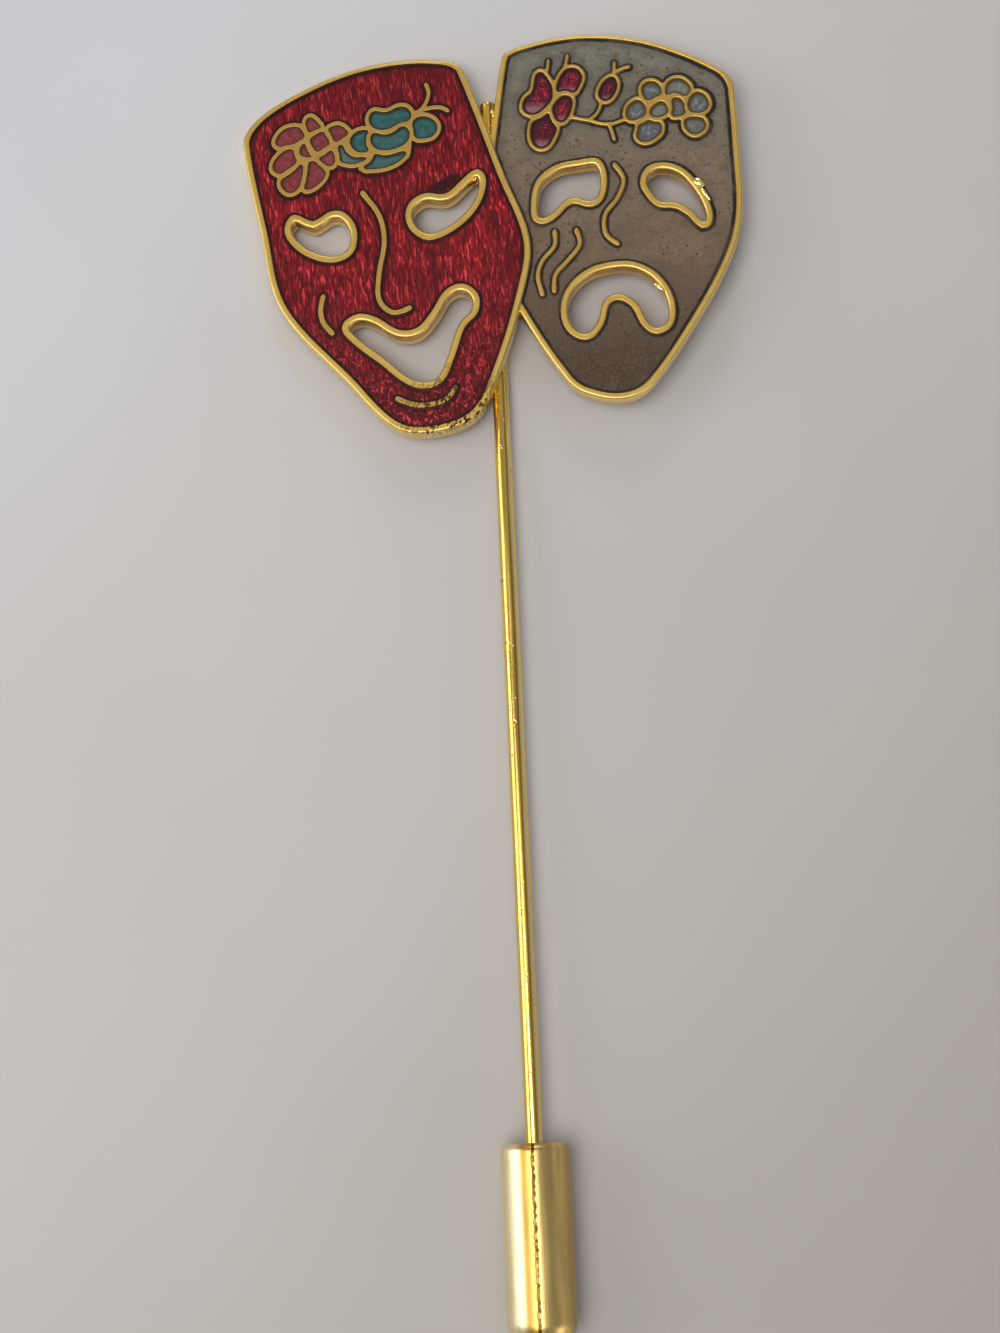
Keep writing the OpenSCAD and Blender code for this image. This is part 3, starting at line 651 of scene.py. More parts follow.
def add_nugget(sheets, place, size, turn, segments=32, rings=18):
    """A small lump of metal: a ball squashed to its sizes, whose radius first swells.

    The swell is 1 + (0.16 sin(3a + 1) sin(2b) + 0.1 cos(2a)) sin(b), where a is the angle round it and b the angle from
    its top. It stands at its place and is turned about the way up."""
    a = np.linspace(0, 2 * math.pi, segments, endpoint=False)[None, ::-1]
    b = np.linspace(0, math.pi, rings)[:, None]
    swell = 1 + (0.16 * np.sin(3 * a + 1) * np.sin(2 * b) + 0.1 * np.cos(2 * a)) * np.sin(b)
    facing = np.stack([np.sin(b) * np.cos(a), np.sin(b) * np.sin(a), np.cos(b) + 0 * a], axis=2)
    c, s = cos_sin(turn)
    spin = np.array([[c, s, 0], [-s, c, 0], [0, 0, 1]])
    ids = sheets.add_points((facing * swell[:, :, None] * size) @ spin + place, bright=1.0)
    ids[0], ids[-1] = ids[0, 0], ids[-1, 0]
    shade = unit((facing / np.array(size)) @ spin)
    sheets.add_rounds(ids, shade[:-1], shade[1:])


# Turned pieces and the solder

def arc(centre, radius, start, end, count):
    """Points of a circle's arc in a profile: centre + radius * (cos a, sin a), a from start to end in degrees."""
    a = np.radians(np.linspace(start, end, count))
    return np.column_stack([centre[0] + radius * np.cos(a), centre[1] + radius * np.sin(a)])


CREASE = 35


def add_turned(sheets, profile, segments, swell=None, closed=False):
    """A profile of (distance down the stem, radius) carried round the stem's axis.

    A point stands at (radius cos a, -distance, radius sin a). Its shading direction is the profile's own, turned by the
    same angle, and is shared by neighbouring sides of the profile that differ by less than the crease. Ends of no
    radius become one point each. swell(distance, a) is added to the radius. A closed profile joins its end to its
    start."""
    side = (np.roll(profile, -1, axis=0) - profile)[: len(profile) if closed else -1]
    facing = unit(np.column_stack([-side[:, 1], side[:, 0]]))
    before, after = np.roll(facing, 1, axis=0), np.roll(facing, -1, axis=0)
    if not closed:
        before[0], after[-1] = facing[0], facing[-1]
    angle = np.linspace(0, 2 * math.pi, segments, endpoint=False)
    c, s = np.cos(angle), np.sin(angle)
    down, radius = (np.repeat(profile[:, [k]], segments, axis=1) for k in (0, 1))
    if swell is not None:
        radius = np.where(radius > 0, radius + swell(down, angle[None, :]), 0)
    ids = sheets.add_points(np.stack([radius * c, -down, radius * s], axis=2), side_x=(radius * c).ravel(),
                            side_z=(radius * s).ravel(), along=down.ravel())
    for end in (0, -1):
        if profile[end, 1] <= 0:
            ids[end] = ids[end, 0]

    def shades(other):
        """The mean of a side's direction and its neighbour's, where that is shared, turned to each angle."""
        shared = np.sum(other * facing, axis=1) > cos_sin(CREASE)[0]
        mean = (facing + np.where(shared[:, None], other, facing))[:, None, :]
        return np.stack(np.broadcast_arrays(mean[:, :, 1] * c, -mean[:, :, 0], mean[:, :, 1] * s), axis=2)

    sheets.add_rounds(np.concatenate([ids, ids[:1]]) if closed else ids, shades(before), shades(after))


# Nicks in the stem: distance along it, angle, depth, half length in mm and half width in radians

NICKS = ((18.3, 1.9, 0.07, 0.12, 0.4), (19.8, 1.6, 0.06, 0.15, 0.35), (21.2, 1.8, 0.06, 0.1, 0.4),
         (30.5, 2.5, 0.13, 0.1, 0.35), (34.3, 2.0, 0.13, 0.12, 0.55), (50.7, 1.8, 0.1, 0.14, 0.4))

# The soldered stretch of the stem: its radius, its end, and the length over which it grows to the full radius

ROOT_RADIUS, ROOT_END, ROOT_TAPER = 0.48, 21.67, 1.2


def stem_profile(style):
    """The stem from its soldered end to its point, as (distance, radius)."""
    full = style.thickness / 2
    corner = arc((0.16, ROOT_RADIUS - 0.16), 0.16, 180, 90, 8)
    fine = [nick[0] + np.linspace(-0.5, 0.5, 21) for nick in NICKS]
    down = np.unique(np.round(np.concatenate([np.arange(0.6, 63.2, 0.3), [ROOT_END, 22.3, 22.87, 63.3], *fine]), 3))
    grown = np.clip((down - ROOT_END) / ROOT_TAPER, 0, 1)
    body = np.column_stack([down, ROOT_RADIUS + (full - ROOT_RADIUS) * grown])
    point = [(66.2, 0.45), (69.1, 0.36), (70.6, 0.22), (71.6, 0.12), (72.0, 0.06), (72.1, 0)]
    return np.concatenate([[(0.0, 0.0)], corner, body, point])


def stem_swell(down, angle):
    """Faint flats left by drawing the wire, 2 and 3 to the turn, that wander slowly along the stem, and its nicks:
    depth (1 - d^2) exp(-d^2) at the distance d, in the nick's own half sizes: a hollow with a raised lip."""
    calm = np.clip((down - 0.4) / 1.0, 0, 1)
    nicks = 0
    for at, turn, depth, length, width in NICKS:
        reach = ((down - at) / length) ** 2 + ((angle - turn) / width) ** 2
        nicks = nicks + depth * (1 - reach) * np.exp(-reach)
    return calm * (0.004 * np.cos(2 * angle + 0.05 * down) + 0.003 * np.cos(3 * angle - 0.03 * down + 1.0)
                   + 0.002 * np.sin(0.9 * down + 2 * angle)) - nicks


def add_solder(sheets, start, length, spread, rows=90, across=40):
    """The bed of solder between the stem and the plates' back.

    Across it, the underside is a hollow curve: from the back at its outer edge it falls as the power 1.7 of the way in
    to just beside the stem, and is level inside the stem. Its width swells and narrows along, and closes to a round
    end."""
    along = np.linspace(0, 1, rows)[:, None]
    cap = np.sqrt(np.clip(1 - np.abs(2 * along - 1) ** 8, 0, 1))
    wander = 0.07 * np.sin(along * 23) + 0.05 * np.sin(along * 41 + 1) + 0.04 * np.sin(along * 67 + 2)
    half = 0.2 + (0.28 + spread + wander) * cap
    x = half * np.linspace(-1, 1, across)
    climb = np.clip((half - np.abs(x)) / np.maximum(half - 0.4, 0.05), 0, 1)
    dip = (0.42 + 0.05 * np.sin(along * 35)) * climb**1.7 * np.clip(cap * 1.2, 0, 1)
    down = start + along * length + 0 * x
    under = np.stack([x, -down, BACK + 0.02 - dip], axis=2)
    over = np.stack([x, -down, np.full_like(x, BACK + 0.1)], axis=2)
    top, foot = (sheets.add_points(p, solder=1.0) for p in (over, under))
    facing = unit(np.cross(np.gradient(under, axis=0), np.gradient(under, axis=1)))
    facing *= -np.sign(facing[:, :, 2:3] + 1e-12)

    def grid(ids):
        return np.stack([ids[:-1, :-1], ids[:-1, 1:], ids[1:, 1:], ids[1:, :-1]], axis=2).reshape(-1, 4)

    sheets.add_faces(grid(foot), facing.reshape(-1, 3)[grid(foot) - foot[0, 0]])
    sheets.add_faces(grid(top)[:, ::-1], (0, 0, 1))
    ids = foot - foot[0, 0]
    ring = np.concatenate([ids[0, :-1], ids[:-1, -1], ids[-1, :0:-1], ids[:0:-1, 0]])
    down_all = np.broadcast_to([0.0, 0.0, -1.0], (ids.size, 3))
    sheets.add_band(foot.ravel(), top.ravel(), np.column_stack([ring, np.roll(ring, -1)]), down_all)


def barrel_profiles(style):
    """The barrel's outside, over the mouth's round and down to the nose, and its inside, from the nose back up."""
    r, end = style.thickness / 2, style.length
    outside = np.concatenate([
        [(0.12, 0.62)], arc((0.12, 0.74), 0.12, 270, 180, 5)[1:], arc((0.45, r - 0.45), 0.45, 180, 90, 14),
        [(d, r) for d in np.linspace(0.8, end - 1.5, 24)], arc((end - 1.3, r - 1.3), 1.3, 90, 0, 22),
        [(end, 0.3), (end, 0.0)]])
    inside = np.array([(end - 0.9, 0.0), (end - 0.9, r - 0.4), (0.4, r - 0.4), (0.4, 0.62), outside[0]])
    return outside + (STEM_LENGTH, 0), inside + (STEM_LENGTH, 0)


def grip_profile(style):
    """The bush inside the barrel, with its two ends bevelled."""
    r, end = style.thickness / 2 - 0.44, style.length - 0.94
    return np.array([(0.5, 0.54), (0.44, 0.6), (0.44, r - 0.06), (0.5, r), (end - 0.06, r), (end, r - 0.06),
                     (end, 0.6), (end - 0.06, 0.54)]) + (STEM_LENGTH, 0)


# Materials

def tint(colour, *shares):
    """A colour times one share, or times three."""
    return tuple(c * share for c, share in zip(colour, shares * 3))


class Look:
    """A node material with a Principled shader, whose colour is laid on in layers."""

    def __init__(self, name, **inputs):
        self.material = bpy.data.materials.new(name)
        self.material.use_nodes = True
        self.tree = self.material.node_tree
        self.shader = self.tree.nodes["Principled BSDF"]
        self.colour = None
        self.set_inputs(inputs)

    def put(self, value, socket):
        """Links a value's socket, or sets the value."""
        if hasattr(value, "is_linked"):
            self.tree.links.new(value, socket)
        else:
            socket.default_value = (*value, 1) if socket.type == "RGBA" else value

    def node(self, kind, inputs, output, **settings):
        """A new node's output, with the node's inputs and settings put in."""
        made = self.tree.nodes.new(kind)
        for key, value in settings.items():
            setattr(made, key, value)
        for key, value in inputs.items():
            self.put(value, made.inputs[key])
        return made.outputs[output]

    def attribute(self, name):
        """A value kept for each point of the mesh."""
        return self.node("ShaderNodeAttribute", {}, "Fac", attribute_name=name)

    def math(self, operation, *values):
        """A sum with one to three values."""
        return self.node("ShaderNodeMath", dict(enumerate(values)), "Value", operation=operation)

    def product(self, first, *more):
        """Values multiplied."""
        for value in more:
            first = self.math("MULTIPLY", first, value)
        return first

    def distance(self, value, middle):
        """How far a value is from a middle one."""
        return self.math("ABSOLUTE", self.math("SUBTRACT", value, middle))

    def span(self, value, start, end, low=0.0, high=1.0):
        """A value's run from start to end as one from low to high, held at both ends."""
        return self.node("ShaderNodeMapRange", {"Value": value, "From Min": start, "From Max": end, "To Min": low,
                                                "To Max": high}, "Result", interpolation_type="SMOOTHSTEP")

    def place(self, size, stretch=(1, 1, 1), lean=0.0, shift=(0, 0, 0)):
        """Object coordinates in units of a size in mm times the stretch, with its upright leaned in degrees."""
        return self.node("ShaderNodeMapping", {
            "Vector": self.node("ShaderNodeTexCoord", {}, "Object"), "Scale": tint(stretch, size / MM),
            "Rotation": (0, 0, math.radians(lean)), "Location": tint(shift, 1 / MM)}, "Vector", vector_type="TEXTURE")

    def noise(self, size, stretch=(1, 1, 1), detail=3.0, distortion=0.0, lean=0.0, shift=(0, 0, 0)):
        """Noise with features of about the size in mm, drawn out by the stretch."""
        return self.node("ShaderNodeTexNoise", {"Vector": self.place(size, stretch, lean, shift), "Scale": 1.0,
                                                "Detail": detail, "Distortion": distortion}, "Fac")

    def spots(self, size, low, high, shift=(0, 0, 0)):
        """Round spots of about the size in mm: 1 at their middles, falling to 0 as the distance grows."""
        cells = self.node("ShaderNodeTexVoronoi", {"Vector": self.place(size, shift=shift), "Scale": 1.0}, "Distance")
        return self.span(cells, low, high, 1.0, 0.0)

    def turned(self, across, along, kind="Noise", output="Fac", **inputs):
        """A texture on a turned piece, by the distances across its axis and along it, each times its own number."""
        axes = zip("XYZ", map(self.attribute, ("side_x", "along", "side_z")))
        place = self.node("ShaderNodeCombineXYZ", dict(axes), "Vector")
        scale = (across, along, across)
        vector = self.node("ShaderNodeVectorMath", {0: place, 1: scale}, "Vector", operation="MULTIPLY")
        return self.node("ShaderNodeTex" + kind, {"Vector": vector, "Scale": 1.0, **inputs}, output)

    def ramp(self, factor, *stops):
        """A colour ramp over the factor, with two (place, colour) stops."""
        made = self.tree.nodes.new("ShaderNodeValToRGB")
        self.put(factor, made.inputs["Fac"])
        for element, (place, colour) in zip(made.color_ramp.elements, stops):
            element.position, element.color = place, (*colour, 1)
        return made.outputs["Color"]

    def mix(self, factor, first, second):
        """A mix of two colours by a factor."""
        return self.node("ShaderNodeMix", {0: factor, 6: first, 7: second}, 2, data_type="RGBA")

    def lay(self, factor, colour):
        """Lays a colour over the colour so far, by a factor."""
        self.colour = self.mix(factor, self.colour, colour)

    def bump(self, strength, distance, height, normal=None, invert=False):
        """The direction of a surface with a height in it, over another one's if that is given."""
        under = {} if normal is None else {"Normal": normal}
        return self.node("ShaderNodeBump", {"Strength": strength, "Distance": distance, "Height": height, **under},
                         "Normal", invert=invert)

    def set_inputs(self, inputs):
        """Gives the shader some of its inputs."""
        for key, value in inputs.items():
            self.put(value, self.shader.inputs[key.replace("_", " ")])

    def finish(self, **inputs):
        """Gives the shader its colour and its last inputs, and returns the material."""
        self.set_inputs({"Base_Color": self.colour, **inputs})
        return self.material

    def rim_shadow(self, near, solid, fade, uneven, up=None, upper=0.0):
        """The painted shadow line beside the metal: 1 up to solid mm from it and 0 from fade mm on, with an uneven
        inner edge.

        With up, a share of the cell's size, it is wider by upper where that share is 1."""
        moved = self.math("MULTIPLY_ADD", self.noise(0.35), -uneven * 2, near)
        if up is not None:
            moved = self.math("MULTIPLY_ADD", self.span(up, 0.5, 1.0), -upper, moved)
        return self.span(moved, solid - uneven, fade - uneven, 1.0, 0.0)


def gilt_material(style, name, wall_reflection_colour):
    """Gold plate: matt, granular tops, painted shade beside the enamel, polished along the outer edges and on the
    walls, whose colours are a painted reflection, darker as painted shade on the weeping mask and high in the holes.
    """
    look = Look(name, Metallic=1.0)
    bright, tarnish, wall, inner, pitted = map(look.attribute, ("bright", "tarnish", "wall", "inner", "pitted"))
    grain, patches, plate = look.noise(0.06, detail=5), look.noise(0.9, detail=4), style.plate_colour
    look.colour = look.ramp(patches, (0.3, tint(plate, 0.82)), (0.7, plate))
    look.lay(look.span(grain, 0.35, 0.65, 0.0, 0.35), tint(plate, 0.6))
    near_rim = look.span(look.math("POWER", bright, 0.17), 0.12, 0.42)
    look.colour = look.mix(near_rim, look.mix(patches, style.wire_colour, look.colour), look.colour)
    # Painted shade: browner gold beside the enamel.
    look.lay(look.product(tarnish, 0.85), style.tarnish_colour)
    look.lay(bright, style.edge_colour)
    # Painted reflection: the walls take a paler colour, the floor mirrored in them; the weeping mask's darker copy is
    # painted shade.
    look.lay(wall, wall_reflection_colour)
    # Painted shade: a darker orange brown band high on the holes' walls.
    depth = look.math("MULTIPLY_ADD", look.noise(0.5, detail=4, shift=(0, 3, 1)), 0.5, wall)
    upper_part = look.product(look.span(depth, 0.24, 0.36), look.span(depth, 0.62, 1.0, 1.0, 0.0))
    look.lay(look.product(look.product(inner, 0.9), upper_part), style.upper_wall_shade_colour)
    pits = look.noise(0.19, stretch=(1, 1.9, 1), detail=2.5, distortion=0.6, lean=-20)
    pits = look.product(look.span(pits, 0.5, 0.57), pitted)
    look.lay(pits, (0.06, 0.028, 0.006))
    rough = look.math("SUBTRACT", look.span(bright, 0.0, 1.0, 0.46, 0.24), look.span(wall, 0.0, 0.6, 0.0, 0.12))
    fine = look.bump(0.45, 0.000008, grain)
    return look.finish(Roughness=rough, Normal=look.bump(0.9, 0.00006, pits, fine, invert=True))


def enamel_look(name, roughness, coat, coat_roughness):
    """A look of glossy enamel, and the distance to the metal."""
    look = Look(name, Roughness=roughness, Specular_IOR_Level=0.3, Coat_Weight=coat, Coat_Roughness=coat_roughness)
    return look, look.attribute("edge")


def red_material(style):
    """Translucent red over a brushed ground: bright streaks up the mask painted as glints, slow patches, more painted
    glints towards the chin, and a painted black-red shadow line by the metal.
    """
    look, near = enamel_look("red enamel", 0.34, 0.12, 0.12)
    red, up = style.red, look.attribute("part_up")
    streaks = look.noise(0.125, stretch=(1, 6.5, 6.5), detail=3, distortion=0.9, lean=4)
    patches = look.noise(2.6, stretch=(1, 1.6, 1), detail=4, shift=(3, 1, 0))
    look.colour = look.ramp(patches, (0.34, tint(red, 0.5)), (0.66, tint(red, 0.95)))
    look.lay(look.span(streaks, 0.43, 0.51, 0.9, 0.0), tint(red, 0.25))
    # Bright streaks of the brushed ground, painted light as glints.
    look.lay(look.product(look.span(streaks, 0.575, 0.63), look.span(patches, 0.3, 0.6, 0.4, 1.0)), style.red_streak_glint)
    body = look.product(look.span(up, 0.04, 0.42, 0.2, 1.0), look.span(up, 0.7, 1.0, 1.0, 0.62))
    look.colour = look.mix(body, tint(red, 0.2), look.colour)
    # Painted glints, most towards the chin.
    glints = look.noise(0.2, stretch=(1, 1.7, 1), detail=2, distortion=1.0, lean=12, shift=(1, 2, 0))
    look.lay(look.product(look.span(glints, 0.56, 0.62), look.span(up, 0.02, 0.45, 0.85, 0.0)), style.red_streak_glint)
    # Painted shadow: a black-red line beside the metal.
    shadow = look.product(look.rim_shadow(near, 0.1, 0.32, 0.08), look.span(patches, 0.35, 0.55, 0.75, 1.0))
    look.lay(shadow, (0.018, 0.0006, 0.0015))
    look.lay(look.span(look.attribute("smudge"), 0.1, 0.9, 0.0, 0.9), (0.02, 0.002, 0.003))
    relief = look.product(streaks, look.span(shadow, 0.0, 1.0, 1.0, 0.1))
    return look.finish(Metallic=0.3, Normal=look.bump(0.7, 0.00003, relief))


def grey_material(style):
    """Opaque warm grey with dark specks, pale flecks, faint level scratches, a cooler painted sheen towards the top,
    and painted shade and a painted shadow line beside the metal.
    """
    look, near = enamel_look("grey enamel", 0.36, 0.15, 0.16)
    grey, up = style.grey, look.attribute("part_up")
    high, clouds = look.span(up, 0.42, 1.0), look.noise(1.6, detail=5)
    broad = look.noise(0.6, detail=5, distortion=0.6, shift=(2, 2, 0))
    scratches = look.noise(0.05, stretch=(34, 1, 1), detail=1.5, lean=-9)
    look.colour = look.ramp(clouds, (0.32, tint(grey, 0.8)), (0.68, tint(grey, 1.15)))
    for factor, colour in (
            # Painted sheen: a cooler cast towards the top.
            (high, style.grey_top_sheen),
            (look.span(up, 0.02, 0.5, 1.0, 0.0), tint(grey, 0.3, 0.24, 0.18)),
            (look.span(broad, 0.5, 0.66, 0.0, 0.4), tint(grey, 0.5)),
            (look.span(look.noise(0.14, detail=4), 0.45, 0.7, 0.0, 0.45), tint(grey, 0.55)),
            (look.span(look.noise(0.11, shift=(4, 0, 0)), 0.52, 0.68, 0.0, 0.3), tint(grey, 1.35)),
            (look.product(look.spots(0.42, 0.1, 0.27), look.span(clouds, 0.4, 0.6, 0.15, 0.8)), (0.03, 0.02, 0.013)),
            (look.product(look.spots(0.33, 0.03, 0.09, (0.5, 0.3, 0)), look.span(high, 0.0, 1.0, 0.25, 0.7)),
             (0.35, 0.34, 0.3)),
            (look.product(look.span(scratches, 0.66, 0.74), look.span(high, 0.0, 1.0, 0.12, 0.5)), (0.3, 0.3, 0.27)),
            # Painted shade: a soft dark halo beside the metal, most towards the top.
            (look.product(look.span(near, 0.1, 0.9, 0.45, 0.0), look.span(high, 0.0, 1.0, 0.35, 1.0)),
             tint(style.grey_top_sheen, 0.35)),
            # Painted shadow: a dark line beside the metal, wider towards the right.
            (look.product(look.rim_shadow(near, 0.08, 0.2, 0.06, look.attribute("part_right"), 0.07),
                          look.span(clouds, 0.35, 0.55, 0.7, 1.0)), (0.006, 0.0045, 0.003))):
        look.lay(factor, colour)
    return look.finish(Normal=look.bump(0.3, 0.00001, scratches))


def cell_material(name, light, dark, rim_shadow_colour, foot=None, sparkle=None, spots=0.0, odd=None, upper=0.0):
    """Enamel of the ornament cells.

    It mottles between light and dark and ends in a painted shadow by the wires, wider by upper at a cell's top. foot is
    its colour at a cell's lower end, sparkle that of the small bright grains in its middle, and spots the strength of
    blurred pale spots. A cell's own tone, from 0 to 1, mixes in the odd colour: a greyer and paler one if not given."""
    look, near = enamel_look(name, 0.3, 0.25, 0.1)
    up, tone = look.attribute("part_up"), look.attribute("tone")
    look.colour = look.ramp(look.noise(0.28, detail=4), (0.35, dark), (0.65, light))
    look.lay(look.product(tone, 0.7), odd or tuple(0.6 * c + 0.05 for c in light))
    if spots:
        blurred = look.span(look.noise(0.3, detail=2, shift=(2, 0, 0)), 0.5, 0.68, 0.0, spots)
        look.lay(look.product(blurred, look.span(near, 0.12, 0.4)), tuple(min(1, c * 1.8) for c in light))
    if sparkle:
        some = look.span(look.noise(0.8, detail=2, shift=(1, 4, 0)), 0.36, 0.56, 0.25, 1.0)
        grains = look.product(look.spots(0.13, 0.12, 0.55), look.span(near, 0.12, 0.42), some)
        look.lay(look.product(grains, look.span(tone, 0.0, 1.0, 1.0, 0.55)), sparkle)
    if foot:
        look.lay(look.product(look.span(up, 0.1, 0.34, 1.0, 0.0), look.span(near, 0.05, 0.22), 0.75), foot)
    # Painted shadow beside the wires, wider at a cell's top.
    look.lay(look.rim_shadow(near, 0.03, 0.22, 0.04, up, upper), rim_shadow_colour)
    return look.finish(Normal=look.bump(0.3, 0.00002, look.noise(0.4, detail=2)))


# Painted reflection bands along the stem: place across it, half width, colour and strength

STEM_REFLECTION_BANDS = ((0.34, 0.07, (0.97, 0.82, 0.45), 0.8), (0.19, 0.07, (0.42, 0.24, 0.03), 0.85),
              (-0.33, 0.05, (0.5, 0.3, 0.05), 0.8))


def stem_material(style):
    """Bright gold wire: polished, with drawn lines, paler and browner bands along it painted as reflections, small
    pits, duller solder.
    """
    look = Look("stem gold", Metallic=1.0)
    lines = look.turned(7.0, 0.1, Detail=4.0)
    pit = look.span(look.turned(2.2, 1.6, "Voronoi", "Distance"), 0.06, 0.16, 1.0, 0.0)
    look.colour = look.ramp(lines, (0.38, tint(style.colour, 0.78)), (0.58, style.colour))
    moved = look.math("MULTIPLY_ADD", lines, 0.16, look.attribute("side_x"))
    # Painted reflections: pale and dark bands along the stem.
    for place, half, colour, share in STEM_REFLECTION_BANDS:
        look.lay(look.span(look.distance(moved, place + 0.08), half * 0.5, half * 1.4, share, 0.0), colour)
    look.lay(look.product(pit, 0.7), (0.3, 0.16, 0.03))
    look.lay(look.attribute("solder"), tint(style.colour, 0.75, 0.8, 1.6))
    normal = look.bump(0.6, 0.00003, pit, look.bump(0.3, 0.00002, lines), invert=True)
    return look.finish(Roughness=look.span(lines, 0.3, 0.75, 0.16, 0.3), Normal=normal)


def barrel_material(style):
    """Pale gold, less polished than the stem, with faint lines along it. Its pale side, darker bands, dark far edge,
    ragged dark line up its front and dark nose are painted reflections, laid on as wear.
    """
    look = Look("clutch gold", Metallic=1.0)
    lines = look.turned(3.0, 0.22, Detail=5.0)
    ragged = look.turned(2.0, 2.5, Detail=6.0)
    gold, end = style.colour, STEM_LENGTH + style.length
    side, front, along = map(look.attribute, ("side_x", "side_z", "along"))
    look.colour = look.ramp(lines, (0.38, tint(gold, 0.84)), (0.6, gold))
    # Painted reflections laid on as wear: a pale band down one side, darker bands and a dark far edge.
    look.lay(look.span(side, -1.15, -0.65, 0.8, 0.0), style.pale_reflection_colour)
    look.lay(look.product(look.span(side, -0.9, -0.6), look.span(side, -0.15, 0.0, 1.0, 0.0)),
             tint(gold, 0.72, 0.58, 0.4))
    look.lay(look.product(look.span(side, -0.1, 0.1), look.span(side, 0.8, 1.2, 1.0, 0.0)), tint(gold, 0.68))
    look.lay(look.span(side, 1.5, 1.9, 0.0, 0.65), tint(gold, 0.4))
    # A painted dark reflection, given as a ragged worn line up the front.
    moved = look.math("MULTIPLY_ADD", ragged, 0.28, side)
    line = look.product(look.span(look.distance(moved, 0.08), 0.06, 0.105, 1.0, 0.0), look.span(front, 1.5, 1.9),
                        look.span(ragged, 0.42, 0.66, 1.0, 0.7))
    look.lay(line, (0.07, 0.035, 0.006))
    # Painted dark reflection on the nose.
    look.lay(look.product(look.span(along, end - 0.75, end - 0.3), look.span(moved, -0.2, 0.25),
                          look.span(front, 0.0, 0.8), 0.85), (0.08, 0.04, 0.01))
    normal = look.bump(0.6, 0.00004, line, look.bump(0.3, 0.00005, lines), invert=True)
    return look.finish(Roughness=look.span(lines, 0.3, 0.75, 0.3, 0.42), Normal=normal)


def grip_material():
    """Plain drawn steel."""
    look = Look("grip steel", Metallic=1.0)
    lines = look.turned(6.0, 0.5, Detail=3.0)
    look.colour = look.ramp(lines, (0.3, (0.45,) * 3), (0.7, (0.6,) * 3))
    return look.finish(Roughness=look.ramp(lines, (0.3, (0.3,) * 3), (0.7, (0.45,) * 3)))


def floor_material(style):
    """The pale floor with painted light falloff: warmer and darker towards the lower right, cooler and lighter towards
    the upper left.
    """
    look, base = Look("pale floor", Roughness=0.6), style.floor_colour
    axes = {"Vector": look.node("ShaderNodeTexCoord", {}, "Object")}
    x, y = (look.node("ShaderNodeSeparateXYZ", axes, axis) for axis in "XY")
    # Painted light: the floor darkens and warms to the lower right and lightens and cools to the upper left.
    slant = look.math("MULTIPLY_ADD", x, -0.9, y)
    look.colour = look.mix(look.span(slant, -0.075, 0.03), tint(base, 0.68, 0.655, 0.595), base)
    look.lay(look.span(slant, 0.02, 0.065), tint(base, 1.1, 1.17, 1.27))
    look.lay(look.span(look.noise(30.0), 0.3, 0.7, 0.12, 0.0), tint(base, 0.6))
    return look.finish()


# Settings that a user would change

def length_setting(name, description, default, low, high):
    """A length in mm that a user may set."""
    return FloatProperty(name=name, description=description + ", mm", default=default, min=low, max=high)


def colour_setting(name, description, default):
    """A colour that a user may set."""
    return FloatVectorProperty(name=name, description=description, subtype="COLOR", size=3, default=default)


class PinPlates(PropertyGroup):
    """Sizes and colours of the gilt plates."""
    point_step: length_setting("Point spacing", "Distance between the points of a plate's outline", 0.07, 0.03, 0.3)
    edge_round: length_setting("Outer edge", "Radius of a plate's outer top edge", 0.15, 0.02, 0.3)
    hole_round: length_setting("Hole edge", "Radius round the eyes and mouths", 0.17, 0.02, 0.3)
    laugh_wire_round: length_setting("Laughing mask's wires", "Radius of the red mask's wires", 0.045, 0.02, 0.12)
    weep_wire_round: length_setting("Weeping mask's wires", "Radius of the grey mask's wires", 0.11, 0.02, 0.12)
    plate_colour: colour_setting("Matt gold", "Colour of the flat tops", (0.64, 0.42, 0.1))
    edge_colour: colour_setting("Polished gold", "Colour of the polished edges", (1.0, 0.8, 0.3))
    # The wall colours are painted: a reflection of the floor, and for the weeping mask a darker one as shade.
    wall_reflection_colour: colour_setting("Walls", "Colour of the laughing mask's sides", (0.95, 0.62, 0.16))
    deep_wall_shade_colour: colour_setting("Shaded walls", "Colour of the weeping mask's sides", (0.8, 0.44, 0.06))
    wire_colour: colour_setting("Wires", "Browner gold of the thin wires", (0.4, 0.25, 0.07))
    # Colour of the painted shade high on the holes' walls.
    upper_wall_shade_colour: colour_setting("Upper wall shade", "Orange brown on the upper part of the holes' walls", (0.55, 0.23, 0.025))
    # Colour of the painted shade beside the enamel.
    tarnish_colour: colour_setting("Edge shade", "Colour of the gold beside the enamel", (0.4, 0.22, 0.06))


class PinEnamel(PropertyGroup):
    """Sizes and colours of the enamel."""
    grid: length_setting("Grid", "Distance between points on the enamel", 0.2, 0.05, 1)
    rise: length_setting("Rise", "How far the enamel climbs the walls", 0.012, 0, 0.15)
    red: colour_setting("Red", "Ground colour of the laughing mask", (0.27, 0.006, 0.012))
    # Colour of the streaks and glints painted bright in the red.
    red_streak_glint: colour_setting("Red streaks", "Bright streaks in the red", (0.62, 0.045, 0.055))
    grey: colour_setting("Grey", "Ground colour of the weeping mask", (0.158, 0.104, 0.064))
    # Colour of the painted sheen towards the grey's top.
    grey_top_sheen: colour_setting("Grey, top", "Its colour towards the top", (0.155, 0.15, 0.115))


class PinStem(PropertyGroup):
    """Sizes and colours of the stem."""
    thickness: length_setting("Thickness", "Diameter of the stem", 1.0, 0.5, 2)
    segments: IntProperty(name="Segments", description="Points round the stem", default=96, min=24, max=256)
    colour: colour_setting("Colour", "Bright gold of the stem", (0.97, 0.67, 0.16))


